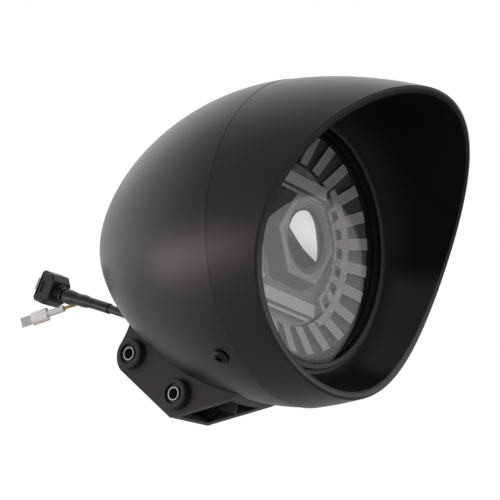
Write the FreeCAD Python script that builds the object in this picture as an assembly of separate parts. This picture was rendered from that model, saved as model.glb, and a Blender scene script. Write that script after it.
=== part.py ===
"""Motorcycle headlight: a bullet-shaped shell with a slanted hood, a lamp insert and an under-slung bracket.

Frame: +X is the way the light shines, +Y is the rider's left, +Z is up, in millimetres. The origin lies on
the axis of the rear bracket bolt, on the middle plane. Shapes are drawn about the centre of the seam between
the two shells, and moved to the origin when they are written out.
"""
import FreeCAD, Part
import math
import os

V = FreeCAD.Vector

# Clearances
SLIDE_GAP = 0.3
THREAD_GAP = 0.1
SEAT_GAP = 0.1

# Shells
SHELL_R = 95.0
SHELL_WALL = 3.0
BUCKET_LENGTH = 148.5
SHOULDER_SHARE = 0.598
BUCKET_NOSE = 22.0
BUCKET_LEAD = 8.0
BUCKET_DROOP = 0.85
SEAM_GAP = 0.3
SEAL_DEPTH = 0.35
HOOD_RISE = 3.92
HOOD_TAPER = 0.0481
HOOD_BOW = 0.17765
RIM_X = 38.2
RIM_SLOPE = 0.3605
RIM_BOW = 0.281675
LIP_ROUND = 1.6
BOWL_FRONT_X = 38.0
BOWL_INSET = 9.0
BOWL_SLOPE = 0.135
BOWL_BOW = 0.1235
BOWL_PULL = 16.0
BOWL_HEEL_X = 5.0
BOWL_HEEL_R = 8.0
SPIGOT_LENGTH = 9.0
SPIGOT_WALL = 3.4
TAB_LENGTH = 20.0
TAB_HALF_ANGLE = 7.0

# Hood screws
HOOD_SCREW_X = -12.0
HOOD_SCREW_ANGLE = 37.0
HOOD_SCREW_R = 2.5
HOOD_HEAD_R = 4.8
HOOD_HEAD_H = 2.9
SPOTFACE_DEPTH = 0.9
SPOTFACE_MARGIN = 0.9
HOOD_NUT_R = 4.6
HOOD_NUT_H = 4.0

# Lamp insert
LAMP_TURN = -3.7
LENS_INSET = 25.0
RING_WALL = 3.6
RING_FRONT_X = 5.4
RING_LIP_W = 1.9
RING_LIP_T = 1.2
FLOOR_FRONT_X = 2.0
FLOOR_REAR_X = -1.0
LENS_CENTRE_X = 6.5
LENS_EDGE_X = 4.6
LENS_T = 2.0
LENS_SKIRT_T = 2.0
LENS_FLANGE_T = 3.0
LENS_FLANGE_W = 3.2
LENS_SEAL_T = 1.0
TUB_STEP = 1.0
TUB_WALL = 2.8
TUB_DEPTH = 40.0
TUB_FLANGE_T = 3.0
TUB_LEDGE_DEPTH = 25.0
TUB_LEDGE_W = 4.2
RETAINER_EDGE = 4.0
RETAINER_T = 3.0
RETAINER_SCREW_R = 1.5
RETAINER_HEAD_H = 2.2
RETAINER_BITE = 6.0
RETAINER_BOSS_R = 3.4
RETAINER_BOSS_CLEAR = 1.4

# Lamp face
CONE_FRONT_X = -4.4
CONE_REAR_X = -12.9
BEZEL_T = 2.0
STICK_COUNT = 24
STICK_MARGIN = 1.0
STICK_LENGTH = 16.0
SIDE_STICK_LENGTH = 11.7
STICK_HALF_ANGLE = 3.0
STICK_T = 2.2
HEX_SHARE = 0.5782
HEX_FLARE = 4.0
HEX_FRONT_X = -1.0
HEX_ROUND = 1.2
PROJECTOR_SHARE = 0.3576
PROJECTOR_LIFT = 2.0
PROJECTOR_EDGE_X = -2.8
PROJECTOR_RISE = 6.8
PROJECTOR_EDGE_T = 3.0
PROJECTOR_RING_W = 1.6
BARREL_WALL = 2.5
BAR_SPAN_SHARE = 0.5353
BAR_SHARE = 0.711
BAR_H = 7.4
BAR_SLOT = 2.2
BAR_RAIL_H = 1.6
BAR_T = 3.6
ARC_MARGIN = 1.5
GUIDE_RING_T = 2.6
GUIDE_RING_HALF_ANGLE = 54.5
ARC_W = 9.4
ARC_T = 4.4
ARC_HALF_ANGLE = 45.0
ARC_TEETH = 6
ARC_TOOTH_DEPTH = 6.8
ARC_TOOTH_SHARE = 0.5
BOARD_T = 1.6
MAIN_BOARD_MARGIN = 11.5
RING_BOARD_W = 15.0
LED_W = 8.0
LED_T = 1.2

# Heat sink
SINK_STEP = 11.0
SINK_BASE_T = 5.0
SINK_FIN_H = 24.0
SINK_FIN_T = 2.4
SINK_FIN_PITCH = 9.0
SINK_FIN_COUNT = 11
SINK_SCREW_INSET = 8.0
SINK_SCREW_R = 2.0
SINK_HEAD_H = 2.6

# Bracket
BOLT_R = 3.25
BOLT_DX = 37.1
BOLT_DZ = -24.8
BOLT_SHARE = 110.4 / 148.5
BOLT_DROP_SHARE = 13.0 / 19.0
BRACKET_W = 36.0
EAR_T = 5.0
EAR_END_R = 12.3
WEB_T = 4.5
WEB_OPEN = 4.0
WEB_END_DX = -4.2
WEB_END_DZ = -13.4
EAR_FRONT_DX = 41.5
EAR_FRONT_DZ = -2.9
EAR_TOP_DX = -4.2
EAR_TOP_SHARE = 46.0 / 95.0
SADDLE_T = 4.0
GROMMET_FLANGE_R = 9.2
GROMMET_FLANGE_T = 4.0
GROMMET_INNER_T = 2.0
GROMMET_NECK_R = 7.2
GROMMET_CUP_R = 6.2
GROMMET_CUP_DEPTH = 1.6
SLEEVE_WALL = 0.75
BRACKET_SCREW_R = 3.0
BRACKET_SCREW_DXS = (62.4, 26.4)
BRACKET_HEAD_R = 5.0
BRACKET_HEAD_H = 4.0
BRACKET_BOSS_R = 6.5
BRACKET_BOSS_H = 5.0
WASHER_R = 6.5
WASHER_T = 1.5

# Cable, plug and wire
CABLE_R = 2.65
CABLE_GROMMET_R = 3.7
CABLE_GROMMET_IN = 9.0
CABLE_GROMMET_OUT = 6.0
CABLE_START_IN = 17.5
CABLE_START_SHARE = 0.39053
CABLE_STEPS = [
    V(0, 0, 0),
    V(-16.0, 0, 4.7),
    V(-30.5, 0, 8.8),
    V(-55.0, 0, 14.9),
]
CABLE_SLEEVE_R = 3.3
SPLICE_NECK_R = 3.3
SPLICE_BULGE_R = 4.3
PLUG_ANGLE = 21.9
PLUG_GAP = 0.85
BOOT_LENGTH = 5.8
BOOT_COLLAR_R = 4.9
BOOT_COLLAR_T = 1.3
BOOT_END_R = 6.3
BOOT_RIB_COUNT = 3
BOOT_RIB_H = 0.7
PLUG_LENGTH = 12.0
PLUG_TAPER = 3.4
PLUG_H = 20.4
PLUG_W = 17.4
PLUG_ROUND = 1.2
BLADE_W = 7.8
BLADE_T = 0.8
BLADE_INSET = 3.6
BLADE_OUT = 4.0
BLADE_IN = 7.0
WIRE_R = 1.0
WIRE_STEPS = [
    V(-38.5, 5.4, 10.9),
    V(-44.5, 8.0, 11.3),
    V(-50.5, 7.6, 11.2),
    V(-54.8, 3.4, 8.6),
    V(-62.5, 0.9, 5.7),
    V(-69.0, -1.0, 3.5),
]
TERMINAL_TUBE_R = 2.1
TERMINAL_HOOD_H = 8.6
TERMINAL_HOOD_T = 5.2
TERMINAL_HOOD_LENGTH = 11.0
TERMINAL_WALL = 0.7
TERMINAL_BLADE_W = 6.3
TERMINAL_BLADE_T = 0.8
TERMINAL_BLADE_OUT = 8.0

# Sizes that follow from those above
BUCKET_SHOULDER = BUCKET_LENGTH * SHOULDER_SHARE
BOWL_FRONT_R = SHELL_R - BOWL_INSET
RING_BORE_R = SHELL_R - LENS_INSET
LENS_R = RING_BORE_R - SLIDE_GAP
LENS_FLANGE_R = RING_BORE_R + LENS_FLANGE_W
RETAINER_SCREW_RING_R = LENS_FLANGE_R + RETAINER_BOSS_R + RETAINER_BOSS_CLEAR
RETAINER_R = RETAINER_SCREW_RING_R + RETAINER_EDGE
TUB_R = RING_BORE_R - TUB_STEP
TUB_INNER_R = TUB_R - TUB_WALL
STICK_OUTER_R = TUB_INNER_R - STICK_MARGIN
STICK_INNER_R = STICK_OUTER_R - STICK_LENGTH
CONE_REAR_R = STICK_INNER_R - STICK_MARGIN
ARC_R = CONE_REAR_R - ARC_MARGIN
HEX_R = ARC_R * HEX_SHARE
BAR_Z = ARC_R * BAR_SHARE
BAR_HALF_LENGTH = ARC_R * BAR_SPAN_SHARE
PROJECTOR_R = ARC_R * PROJECTOR_SHARE
SINK_R = TUB_R - SINK_STEP
SINK_SCREW_RING_R = SINK_R - SINK_SCREW_INSET
SEAM_X = BUCKET_LENGTH * BOLT_SHARE
AXIS_Z = SHELL_R * BOLT_DROP_SHARE
REAR_BOLT = V(-SEAM_X, 0, -AXIS_Z)
FRONT_BOLT = REAR_BOLT + V(BOLT_DX, 0, BOLT_DZ)
WEB_END = FRONT_BOLT + V(WEB_END_DX, 0, WEB_END_DZ)
EAR_FRONT = FRONT_BOLT + V(EAR_FRONT_DX, 0, EAR_FRONT_DZ)
EAR_TOP = V(REAR_BOLT.x + EAR_TOP_DX, 0, -SHELL_R * EAR_TOP_SHARE)
BRACKET_SCREW_XS = [dx - SEAM_X for dx in BRACKET_SCREW_DXS]
CABLE_START = V(CABLE_START_IN - BUCKET_LENGTH, 0, -SHELL_R * CABLE_START_SHARE)
CABLE_ROUTE = [CABLE_START + step for step in CABLE_STEPS]
WIRE_ROUTE = [CABLE_START + step for step in WIRE_STEPS]

X_AXIS = V(1, 0, 0)
Y_AXIS = V(0, 1, 0)


def face_of(edges):
    """A flat face inside a closed chain of edges or points."""
    if isinstance(edges[0], FreeCAD.Vector):
        return Part.Face(Part.makePolygon(list(edges) + [edges[0]]))
    return Part.Face(Part.Wire(Part.__sortEdges__(edges)))


def bezier(*poles):
    """A Bezier edge through the given poles."""
    curve = Part.BezierCurve()
    curve.setPoles(list(poles))
    return curve.toShape()


def line(a, b):
    """A straight edge."""
    return Part.LineSegment(a, b).toShape()


def turned(edges):
    """A profile in the X-Z plane spun about the X axis."""
    return face_of(edges).revolve(V(0, 0, 0), X_AXIS, 360)


def disc(x0, x1, radius):
    """A round disc on the X axis between two places."""
    return Part.makeCylinder(radius, abs(x1 - x0), V(min(x0, x1), 0, 0), X_AXIS)


def tube(x0, x1, inner, outer):
    """A tube on the X axis."""
    return disc(x0, x1, outer).cut(disc(min(x0, x1) - 1, max(x0, x1) + 1, inner))


def rod(start, direction, radius, length):
    """A cylinder from a point along a direction."""
    return Part.makeCylinder(radius, length, start, direction)


def slab(x0, x1):
    """Everything between two planes square to X."""
    size = 4 * SHELL_R
    return Part.makeBox(x1 - x0, size, size, V(x0, -size / 2, -size / 2))


def tilted(shape, degrees):
    """A shape pitched about the seam's centre, nose up for positive angles."""
    out = shape.copy()
    out.rotate(V(0, 0, 0), Y_AXIS, -degrees)
    return out


def rolled(shape, degrees):
    """A shape turned about the X axis."""
    out = shape.copy()
    out.rotate(V(0, 0, 0), X_AXIS, degrees)
    return out


def mirrored(shape):
    """A shape mirrored across the middle plane."""
    return shape.mirror(V(0, 0, 0), Y_AXIS)


def joined(shapes):
    """One solid from overlapping solids."""
    out = shapes[0].multiFuse(list(shapes[1:])).removeSplitter()
    return out


def group(shapes):
    """Separate solids kept in one node."""
    return Part.makeCompound([solid for shape in shapes for solid in shape.Solids])


def bucket_body(offset):
    """The bucket's full outer form, grown by an offset."""
    radius = SHELL_R + offset
    length = BUCKET_LENGTH + offset
    lead = BUCKET_LEAD
    profile = [
        line(V(-length, 0, 0), V(lead, 0, 0)),
        line(V(lead, 0, 0), V(lead, 0, radius)),
        line(V(lead, 0, radius), V(0, 0, radius)),
        bezier(
            V(0, 0, radius),
            V(-BUCKET_SHOULDER, 0, radius),
            V(-length, 0, BUCKET_NOSE),
            V(-length, 0, 0),
        ),
    ]
    return tilted(turned(profile), -BUCKET_DROOP)


def bucket_point(x):
    """The lowest point of the bucket at a place along X, and the way out of the wall there."""
    body = bucket_body(0)
    high, low = -0.2 * SHELL_R, -1.6 * SHELL_R
    probe = Part.makeLine(V(x, 0, high), V(x, 0, low))
    inside = body.common(probe)
    point = min((v.Point for v in inside.Vertexes), key=lambda p: p.z)
    step = 0.5
    ahead = body.common(Part.makeLine(V(x + step, 0, high), V(x + step, 0, low)))
    other = min((v.Point for v in ahead.Vertexes), key=lambda p: p.z)
    along = (other - point).normalize()
    return point, V(along.z, 0, -along.x)


def hood_screw_axis():
    """Direction out of the shell at the right-hand hood screw."""
    angle = math.radians(HOOD_SCREW_ANGLE)
    return V(0, -math.sin(angle), -math.cos(angle))


SPIGOT_R = SHELL_R - SHELL_WALL - SLIDE_GAP - 0.1
SPIGOT_INNER_R = SPIGOT_R - SPIGOT_WALL
SPOTFACE_R = SHELL_R - SPOTFACE_DEPTH
CABLE_DIR = (CABLE_ROUTE[1] - CABLE_ROUTE[0]).normalize()
CABLE_EXIT = CABLE_ROUTE[0] - CABLE_DIR * CABLE_GROMMET_OUT


def rear_bucket():
    """Drawn shell with its screw seats, cable hole and bracket holes."""
    shell = bucket_body(0).cut(bucket_body(-SHELL_WALL))
    shell = shell.cut(slab(-SEAM_GAP / 2, SHELL_R))
    out = hood_screw_axis()
    seat = rod(V(HOOD_SCREW_X, 0, 0) + out * SPOTFACE_R, out, HOOD_HEAD_R + SPOTFACE_MARGIN, 8)
    hole = rod(V(HOOD_SCREW_X, 0, 0) + out * (SHELL_R - 12), out, HOOD_SCREW_R + SLIDE_GAP, 24)
    cuts = [seat, hole, mirrored(seat), mirrored(hole)]
    cuts.append(rod(CABLE_EXIT - CABLE_DIR * 25, CABLE_DIR, CABLE_GROMMET_R + SEAT_GAP, 45))
    for x in BRACKET_SCREW_XS:
        point, normal = bucket_point(x)
        cuts.append(rod(point - normal * 10, normal, BRACKET_SCREW_R + SLIDE_GAP, 14))
    return shell.cut(cuts)


def hood_body():
    """The hood's outer form before its front is cut to the slanted rim."""
    back, front = -0.15 * SHELL_R, 1.2 * SHELL_R
    curve = HOOD_BOW / SHELL_R

    def radius(s):
        return SHELL_R - HOOD_TAPER * s - curve * s * s

    slope = -HOOD_TAPER - 2 * curve * back
    middle = (front - back) / 2
    profile = [
        line(V(back, 0, 0), V(front, 0, 0)),
        line(V(front, 0, 0), V(front, 0, radius(front))),
        bezier(
            V(back, 0, radius(back)),
            V(back + middle, 0, radius(back) + slope * middle),
            V(front, 0, radius(front)),
        ),
        line(V(back, 0, radius(back)), V(back, 0, 0)),
    ]
    return tilted(turned(profile), HOOD_RISE)


def rim_cutter():
    """Everything ahead of the hood's slanted, curved front edge."""
    low, high, wide = -1.3 * SHELL_R, 1.3 * SHELL_R, 2.6 * SHELL_R
    curve = RIM_BOW / SHELL_R

    def edge_x(z):
        return RIM_X + RIM_SLOPE * z + curve * z * z

    half = (high - low) / 2
    slope = RIM_SLOPE + 2 * curve * low
    ahead = 2.8 * SHELL_R
    profile = [
        bezier(V(edge_x(low), 0, low), V(edge_x(low) + slope * half, 0, low + half), V(edge_x(high), 0, high)),
        line(V(edge_x(high), 0, high), V(ahead, 0, high)),
        line(V(ahead, 0, high), V(ahead, 0, low)),
        line(V(ahead, 0, low), V(edge_x(low), 0, low)),
    ]
    block = face_of(profile).extrude(V(0, wide, 0))
    block.translate(V(0, -wide / 2, 0))
    return block


RING_R = RING_BORE_R + RING_WALL
FLOOR_HOLE_R = RING_R + SLIDE_GAP
BOWL_R = FLOOR_HOLE_R + RING_LIP_W + 0.6


def hood_bowl():
    """The hollow that opens forward round the lens."""
    front = 1.3 * SHELL_R
    curve = BOWL_BOW / SHELL_R
    reach = front - BOWL_FRONT_X
    end_r = BOWL_FRONT_R - BOWL_SLOPE * reach - curve * reach * reach
    profile = [
        line(V(FLOOR_FRONT_X, 0, 0), V(front, 0, 0)),
        line(V(front, 0, 0), V(front, 0, end_r)),
        bezier(
            V(front, 0, end_r),
            V(BOWL_FRONT_X + reach / 2, 0, BOWL_FRONT_R - BOWL_SLOPE * reach / 2),
            V(BOWL_FRONT_X, 0, BOWL_FRONT_R),
        ),
        bezier(
            V(BOWL_FRONT_X, 0, BOWL_FRONT_R),
            V(BOWL_FRONT_X - BOWL_PULL, 0, BOWL_FRONT_R + BOWL_SLOPE * BOWL_PULL),
            V(FLOOR_FRONT_X + BOWL_HEEL_X, 0, BOWL_R + BOWL_HEEL_R),
            V(FLOOR_FRONT_X, 0, BOWL_R),
        ),
        line(V(FLOOR_FRONT_X, 0, BOWL_R), V(FLOOR_FRONT_X, 0, 0)),
    ]
    return turned(profile)


def hood_pocket():
    """The ring-shaped hollow between the bowl and the outer wall, open to the rear."""
    inner = RETAINER_SCREW_RING_R + RETAINER_BOSS_R
    points = [
        V(FLOOR_REAR_X - 20, 0, inner + 0.4),
        V(FLOOR_FRONT_X + 1, 0, inner + 1.6),
        V(FLOOR_FRONT_X + 7, 0, SPIGOT_INNER_R - 0.6),
        V(FLOOR_REAR_X - 20, 0, SPIGOT_INNER_R),
    ]
    return turned(points)


def retainer_spots():
    """Centres of the retaining ring's screws."""
    spots = []
    for k in range(3):
        angle = math.radians(90 + 120 * k)
        spots.append((math.cos(angle) * RETAINER_SCREW_RING_R, math.sin(angle) * RETAINER_SCREW_RING_R))
    return spots


FLANGE_FRONT_X = FLOOR_REAR_X - LENS_FLANGE_T - LENS_SEAL_T
FLANGE_REAR_X = FLANGE_FRONT_X - TUB_FLANGE_T


def front_hood():
    """Front shell: slanted shade, bowl, lamp floor with screw bosses, spigot and two screw tabs."""
    body = hood_body().cut(slab(-SHELL_R, FLOOR_REAR_X))
    body = body.cut([rim_cutter(), hood_bowl()])
    edges = []
    for edge in body.Edges:
        box = edge.BoundBox
        if box.ZLength > 1.05 * SHELL_R and box.XLength > 0.2 * SHELL_R:
            edges.append(edge)
    body = body.makeFillet(LIP_ROUND, edges)
    body = body.cut([hood_pocket(), disc(-0.2 * SHELL_R, 0.2 * SHELL_R, FLOOR_HOLE_R)])
    clear = bucket_body(-SHELL_WALL - SLIDE_GAP)
    rim_trim = slab(-0.3 * SHELL_R, SEAM_GAP / 2).cut(clear)
    body = body.cut(rim_trim)
    spigot = tube(-SPIGOT_LENGTH, 3, SPIGOT_INNER_R, SPIGOT_R).common(clear)
    tab_ring = tube(-TAB_LENGTH, 0, SPIGOT_INNER_R, SPIGOT_R).common(clear)
    out = hood_screw_axis()
    wide = 2 * SHELL_R * math.sin(math.radians(TAB_HALF_ANGLE))
    gate = Part.makeBox(3 * TAB_LENGTH, wide, 1.3 * SHELL_R, V(-2 * TAB_LENGTH, -wide / 2, 0))
    tabs = []
    for side in (1, -1):
        turned_gate = rolled(gate, 180 - side * HOOD_SCREW_ANGLE)
        tabs.append(tab_ring.common(turned_gate))
    spots = retainer_spots()
    bosses = [rod(V(FLANGE_REAR_X, y, z), X_AXIS, RETAINER_BOSS_R, -FLANGE_REAR_X + 0.5) for y, z in spots]
    body = joined([body, spigot] + tabs + bosses)
    hole = rod(V(HOOD_SCREW_X, 0, 0) + out * (SPIGOT_INNER_R - 8), out, HOOD_SCREW_R + SLIDE_GAP, 24)
    pilot_r = RETAINER_SCREW_R + THREAD_GAP
    pilots = [rod(V(FLANGE_REAR_X - 1, y, z), X_AXIS, pilot_r, RETAINER_BITE + 2) for y, z in spots]
    return body.cut([hole, mirrored(hole)] + pilots)


def hood_seal():
    """Rubber ring that fills the seam below the surface."""
    return tube(-SEAM_GAP / 2, SEAM_GAP / 2, SPIGOT_R + SLIDE_GAP, SHELL_R - SEAL_DEPTH)


def cross_recess(tip, inward, size, depth):
    """A cross-shaped driver recess, cut down from the head's top."""
    frame = FreeCAD.Rotation(V(0, 0, 1), inward)
    arms = []
    for w, h in ((size, size * 0.28), (size * 0.28, size)):
        arm = Part.makeBox(w, h, depth + 1, V(-w / 2, -h / 2, -1))
        arm.Placement = FreeCAD.Placement(tip, frame).multiply(arm.Placement)
        arms.append(arm)
    return joined(arms)


def pan_head(seat, out, radius, height):
    """A domed screw head on a seat."""
    flat = radius * 0.45
    profile = [
        line(V(0, 0, 0), V(0, 0, radius)),
        line(V(0, 0, radius), V(height * 0.35, 0, radius)),
        bezier(V(height * 0.35, 0, radius), V(height, 0, radius * 0.95), V(height, 0, flat)),
        line(V(height, 0, flat), V(height, 0, 0)),
        line(V(height, 0, 0), V(0, 0, 0)),
    ]
    head = turned(profile)
    head.Placement = FreeCAD.Placement(seat, FreeCAD.Rotation(X_AXIS, out))
    return head


def hood_screws():
    """Two pan-head screws through the bucket into the hood's tabs."""
    out = hood_screw_axis()
    seat = V(HOOD_SCREW_X, 0, 0) + out * SPOTFACE_R
    nut_base = SPIGOT_INNER_R - HOOD_NUT_H - SEAT_GAP - 0.3
    shank = rod(V(HOOD_SCREW_X, 0, 0) + out * nut_base, out, HOOD_SCREW_R, SPOTFACE_R - nut_base + 0.5)
    screw = joined([pan_head(seat, out, HOOD_HEAD_R, HOOD_HEAD_H), shank])
    screw = screw.cut(cross_recess(seat + out * HOOD_HEAD_H, out * -1, HOOD_HEAD_R * 1.05, HOOD_HEAD_H * 0.6))
    return group([screw, mirrored(screw)])


def hood_nuts():
    """Two nuts behind the hood's tabs."""
    out = hood_screw_axis()
    base = V(HOOD_SCREW_X, 0, 0) + out * (SPIGOT_INNER_R - HOOD_NUT_H - SEAT_GAP - 0.2)
    nut = rod(base, out, HOOD_NUT_R, HOOD_NUT_H)
    nut = nut.cut(rod(base - out * 2, out, HOOD_SCREW_R + THREAD_GAP, HOOD_NUT_H + 4))
    return group([nut, mirrored(nut)])


def bezel_ring():
    """Trim ring round the lens with a lip that lies on the hood's floor."""
    ring = tube(FLOOR_REAR_X, RING_FRONT_X, RING_BORE_R, RING_R)
    edges = [e for e in ring.Edges if abs(e.BoundBox.XMin - RING_FRONT_X) < 1e-4 and e.BoundBox.XLength < 1e-4]
    ring = ring.makeFillet(0.9, edges)
    lip = tube(FLOOR_FRONT_X, FLOOR_FRONT_X + RING_LIP_T, RING_R - 1, FLOOR_HOLE_R + RING_LIP_W)
    return joined([ring, lip])


def lens_cap(centre_x, grow):
    """The solid behind the lens's spherical front face."""
    rise = LENS_CENTRE_X - LENS_EDGE_X
    radius = (LENS_R * LENS_R + rise * rise) / (2 * rise)
    return Part.makeSphere(radius + grow, V(centre_x - radius, 0, 0), X_AXIS)


def lens_cover():
    """Clear domed lens with a skirt and a flange behind the trim ring."""
    dome = lens_cap(LENS_CENTRE_X, 0).cut(lens_cap(LENS_CENTRE_X, -LENS_T))
    dome = dome.common(disc(FLOOR_REAR_X - LENS_FLANGE_T, LENS_CENTRE_X + 5, LENS_R))
    flange = tube(FLOOR_REAR_X - LENS_FLANGE_T, FLOOR_REAR_X, TUB_R - TUB_WALL, LENS_FLANGE_R)
    skirt = tube(FLOOR_REAR_X - LENS_FLANGE_T, LENS_EDGE_X - LENS_T / 2, LENS_R - LENS_SKIRT_T, LENS_R)
    return joined([dome, skirt, flange])


def lens_seal():
    """Rubber ring between the lens flange and the tub."""
    return tube(FLANGE_FRONT_X, FLANGE_FRONT_X + LENS_SEAL_T, TUB_R - 1.5, LENS_FLANGE_R - 0.5)


TUB_REAR_X = FLANGE_FRONT_X - TUB_DEPTH
LEDGE_X = FLANGE_FRONT_X - TUB_LEDGE_DEPTH


def sink_spots():
    """Centres of the heat sink's screws."""
    spots = []
    for k in range(4):
        angle = math.radians(45 + 90 * k)
        spots.append((math.cos(angle) * SINK_SCREW_RING_R, math.sin(angle) * SINK_SCREW_RING_R))
    return spots


def lamp_housing():
    """Tub with a front flange, an inner ledge and a closed back."""
    outer = joined([
        disc(TUB_REAR_X, FLANGE_FRONT_X, TUB_R),
        disc(FLANGE_REAR_X, FLANGE_FRONT_X, LENS_FLANGE_R),
    ])
    hollow = joined([
        disc(LEDGE_X, FLANGE_FRONT_X + 1, TUB_INNER_R),
        disc(TUB_REAR_X + TUB_WALL, LEDGE_X + 1, TUB_INNER_R - TUB_LEDGE_W),
    ])
    pilot_r = SINK_SCREW_R + THREAD_GAP
    pilots = [rod(V(TUB_REAR_X - 1, y, z), X_AXIS, pilot_r, TUB_WALL + 4) for y, z in sink_spots()]
    return outer.cut([hollow] + pilots)


def retaining_ring():
    """Ring that clamps the tub's flange to the hood's bosses."""
    ring = tube(FLANGE_REAR_X - RETAINER_T, FLANGE_REAR_X, TUB_R + SLIDE_GAP, RETAINER_R)
    hole_r = RETAINER_SCREW_R + SLIDE_GAP
    start = FLANGE_REAR_X - 2 * RETAINER_T
    holes = [rod(V(start, y, z), X_AXIS, hole_r, 3 * RETAINER_T) for y, z in retainer_spots()]
    return ring.cut(holes)


def ring_screws():
    """Three screws of the retaining ring."""
    screws = []
    back = FLANGE_REAR_X - RETAINER_T
    for y, z in retainer_spots():
        head = pan_head(V(back, y, z), V(-1, 0, 0), RETAINER_BOSS_R, RETAINER_HEAD_H)
        shank = rod(V(back - 0.5, y, z), X_AXIS, RETAINER_SCREW_R, RETAINER_T + RETAINER_BITE)
        screws.append(joined([head, shank]))
    return group(screws)


CONE_FRONT_R = TUB_INNER_R - SLIDE_GAP


def cone_x(radius):
    """Place along X of the bezel cone's front face at a radius."""
    share = (radius - CONE_REAR_R) / (CONE_FRONT_R - CONE_REAR_R)
    return CONE_REAR_X + share * (CONE_FRONT_X - CONE_REAR_X)


HEX_BASE_R = HEX_R + HEX_FLARE
PROJECTOR_RING_R = PROJECTOR_R + SEAT_GAP + PROJECTOR_RING_W
BARREL_R = PROJECTOR_RING_R + SEAT_GAP


def reflector_bezel():
    """Dark cone, panel and skirt that close the lamp round the projector."""
    hole = BARREL_R + 1.0
    points = [
        V(CONE_FRONT_X, 0, CONE_FRONT_R),
        V(CONE_REAR_X, 0, CONE_REAR_R),
        V(CONE_REAR_X, 0, 0),
        V(CONE_REAR_X - BEZEL_T, 0, 0),
        V(CONE_REAR_X - BEZEL_T, 0, CONE_REAR_R + 0.6),
        V(CONE_FRONT_X - BEZEL_T - 0.8, 0, CONE_FRONT_R - BEZEL_T),
        V(LEDGE_X, 0, CONE_FRONT_R - BEZEL_T),
        V(LEDGE_X, 0, CONE_FRONT_R),
    ]
    return turned(points).cut(lifted(disc(CONE_REAR_X - BEZEL_T - 1, CONE_REAR_X + 1, hole)))


def cone_proud():
    """The way straight out from the bezel's cone, at the top of the lamp."""
    run = V(cone_x(STICK_OUTER_R) - cone_x(STICK_INNER_R), 0, STICK_OUTER_R - STICK_INNER_R).normalize()
    return V(run.z, 0, -run.x)


def light_stick(inner):
    """One clear light guide on the bezel's cone, from an inner radius outward."""
    proud = cone_proud()
    half = math.tan(math.radians(STICK_HALF_ANGLE))
    corners = []
    for radius, side in ((inner, -1), (inner, 1), (STICK_OUTER_R, 1), (STICK_OUTER_R, -1)):
        corners.append(V(cone_x(radius), side * STICK_OUTER_R * half, radius) + proud * SEAT_GAP)
    stick = face_of(corners).extrude(proud * STICK_T)
    return stick.cut(tube(-STICK_OUTER_R, STICK_OUTER_R, STICK_OUTER_R, 1.5 * STICK_OUTER_R))


def light_sticks():
    """Ring of radial light guides, shorter at the sides where the guide ring is."""
    long_stick = light_stick(STICK_INNER_R)
    side_stick = light_stick(STICK_OUTER_R - SIDE_STICK_LENGTH)
    step = 360.0 / STICK_COUNT
    pieces = []
    for k in range(STICK_COUNT):
        lean = abs(step * k % 180 - 90)
        pieces.append(rolled(side_stick if lean < GUIDE_RING_HALF_ANGLE else long_stick, step * k + LAMP_TURN))
    return group(pieces)


def light_bar(side):
    """A wide clear bar and a thin rail beside it, above or below the projector."""
    base = CONE_REAR_X
    pieces = []
    wide = BAR_Z if side > 0 else BAR_Z - BAR_SLOT
    rail = BAR_Z - BAR_SLOT - BAR_RAIL_H if side > 0 else wide + BAR_H + BAR_SLOT
    for low, high, half in (
        (wide, wide + BAR_H, BAR_HALF_LENGTH),
        (rail, rail + BAR_RAIL_H, BAR_HALF_LENGTH - 5),
    ):
        bar = Part.makeBox(BAR_T, 2 * half, high - low, V(base, -half, low))
        bar = bar.common(disc(base - 1, base + BAR_T + 1, ARC_R))
        pieces.append(rolled(bar, 180 * (side < 0) + LAMP_TURN))
    return group(pieces)


def side_gate(base, depth, half_angle):
    """Wedge that keeps what lies at the rider's left, within an angle of the lamp's middle."""
    reach = 2 * STICK_OUTER_R
    spread = math.sin(math.radians(half_angle)) * reach
    ahead = math.cos(math.radians(half_angle)) * reach
    corners = [V(base, 0, 0), V(base, ahead, -spread), V(base, reach, 0), V(base, ahead, spread)]
    return face_of(corners).extrude(V(depth, 0, 0))


def guide_ring():
    """Two clear arcs on the cone that the side light guides grow from."""
    proud = cone_proud()
    inner, outer = STICK_INNER_R, STICK_OUTER_R - SIDE_STICK_LENGTH - SLIDE_GAP
    low, high = V(cone_x(inner), 0, inner) + proud * SEAT_GAP, V(cone_x(outer), 0, outer) + proud * SEAT_GAP
    arc = turned([low, high, high + proud * GUIDE_RING_T, low + proud * GUIDE_RING_T])
    arc = arc.common(side_gate(2 * CONE_REAR_X, -2 * CONE_REAR_X, GUIDE_RING_HALF_ANGLE))
    return group([rolled(arc, LAMP_TURN), rolled(arc, 180 + LAMP_TURN)])


def side_light_arcs():
    """Two clear arcs at the sides, with square teeth along their outer edge."""
    base = CONE_REAR_X
    arc = tube(base, base + ARC_T, ARC_R - ARC_W, ARC_R)
    arc = arc.common(side_gate(base, ARC_T, ARC_HALF_ANGLE))
    step = 2 * ARC_HALF_ANGLE / ARC_TEETH
    notches = []
    for k in range(ARC_TEETH):
        width = ARC_R * math.radians(step) * ARC_TOOTH_SHARE
        notch = Part.makeBox(2 * ARC_T, ARC_TOOTH_DEPTH + 2, width, V(base - 1, ARC_R - ARC_TOOTH_DEPTH, -width / 2))
        notches.append(rolled(notch, (k - (ARC_TEETH - 1) / 2) * step))
    arc = arc.cut(notches)
    return group([rolled(arc, LAMP_TURN), rolled(arc, 180 + LAMP_TURN)])


def hexagon(radius, x):
    """A six-sided outline with corners at the sides."""
    corners = []
    for k in range(7):
        angle = math.radians(60 * k)
        corners.append(V(x, math.cos(angle) * radius, math.sin(angle) * radius))
    return Part.makePolygon(corners)


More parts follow.
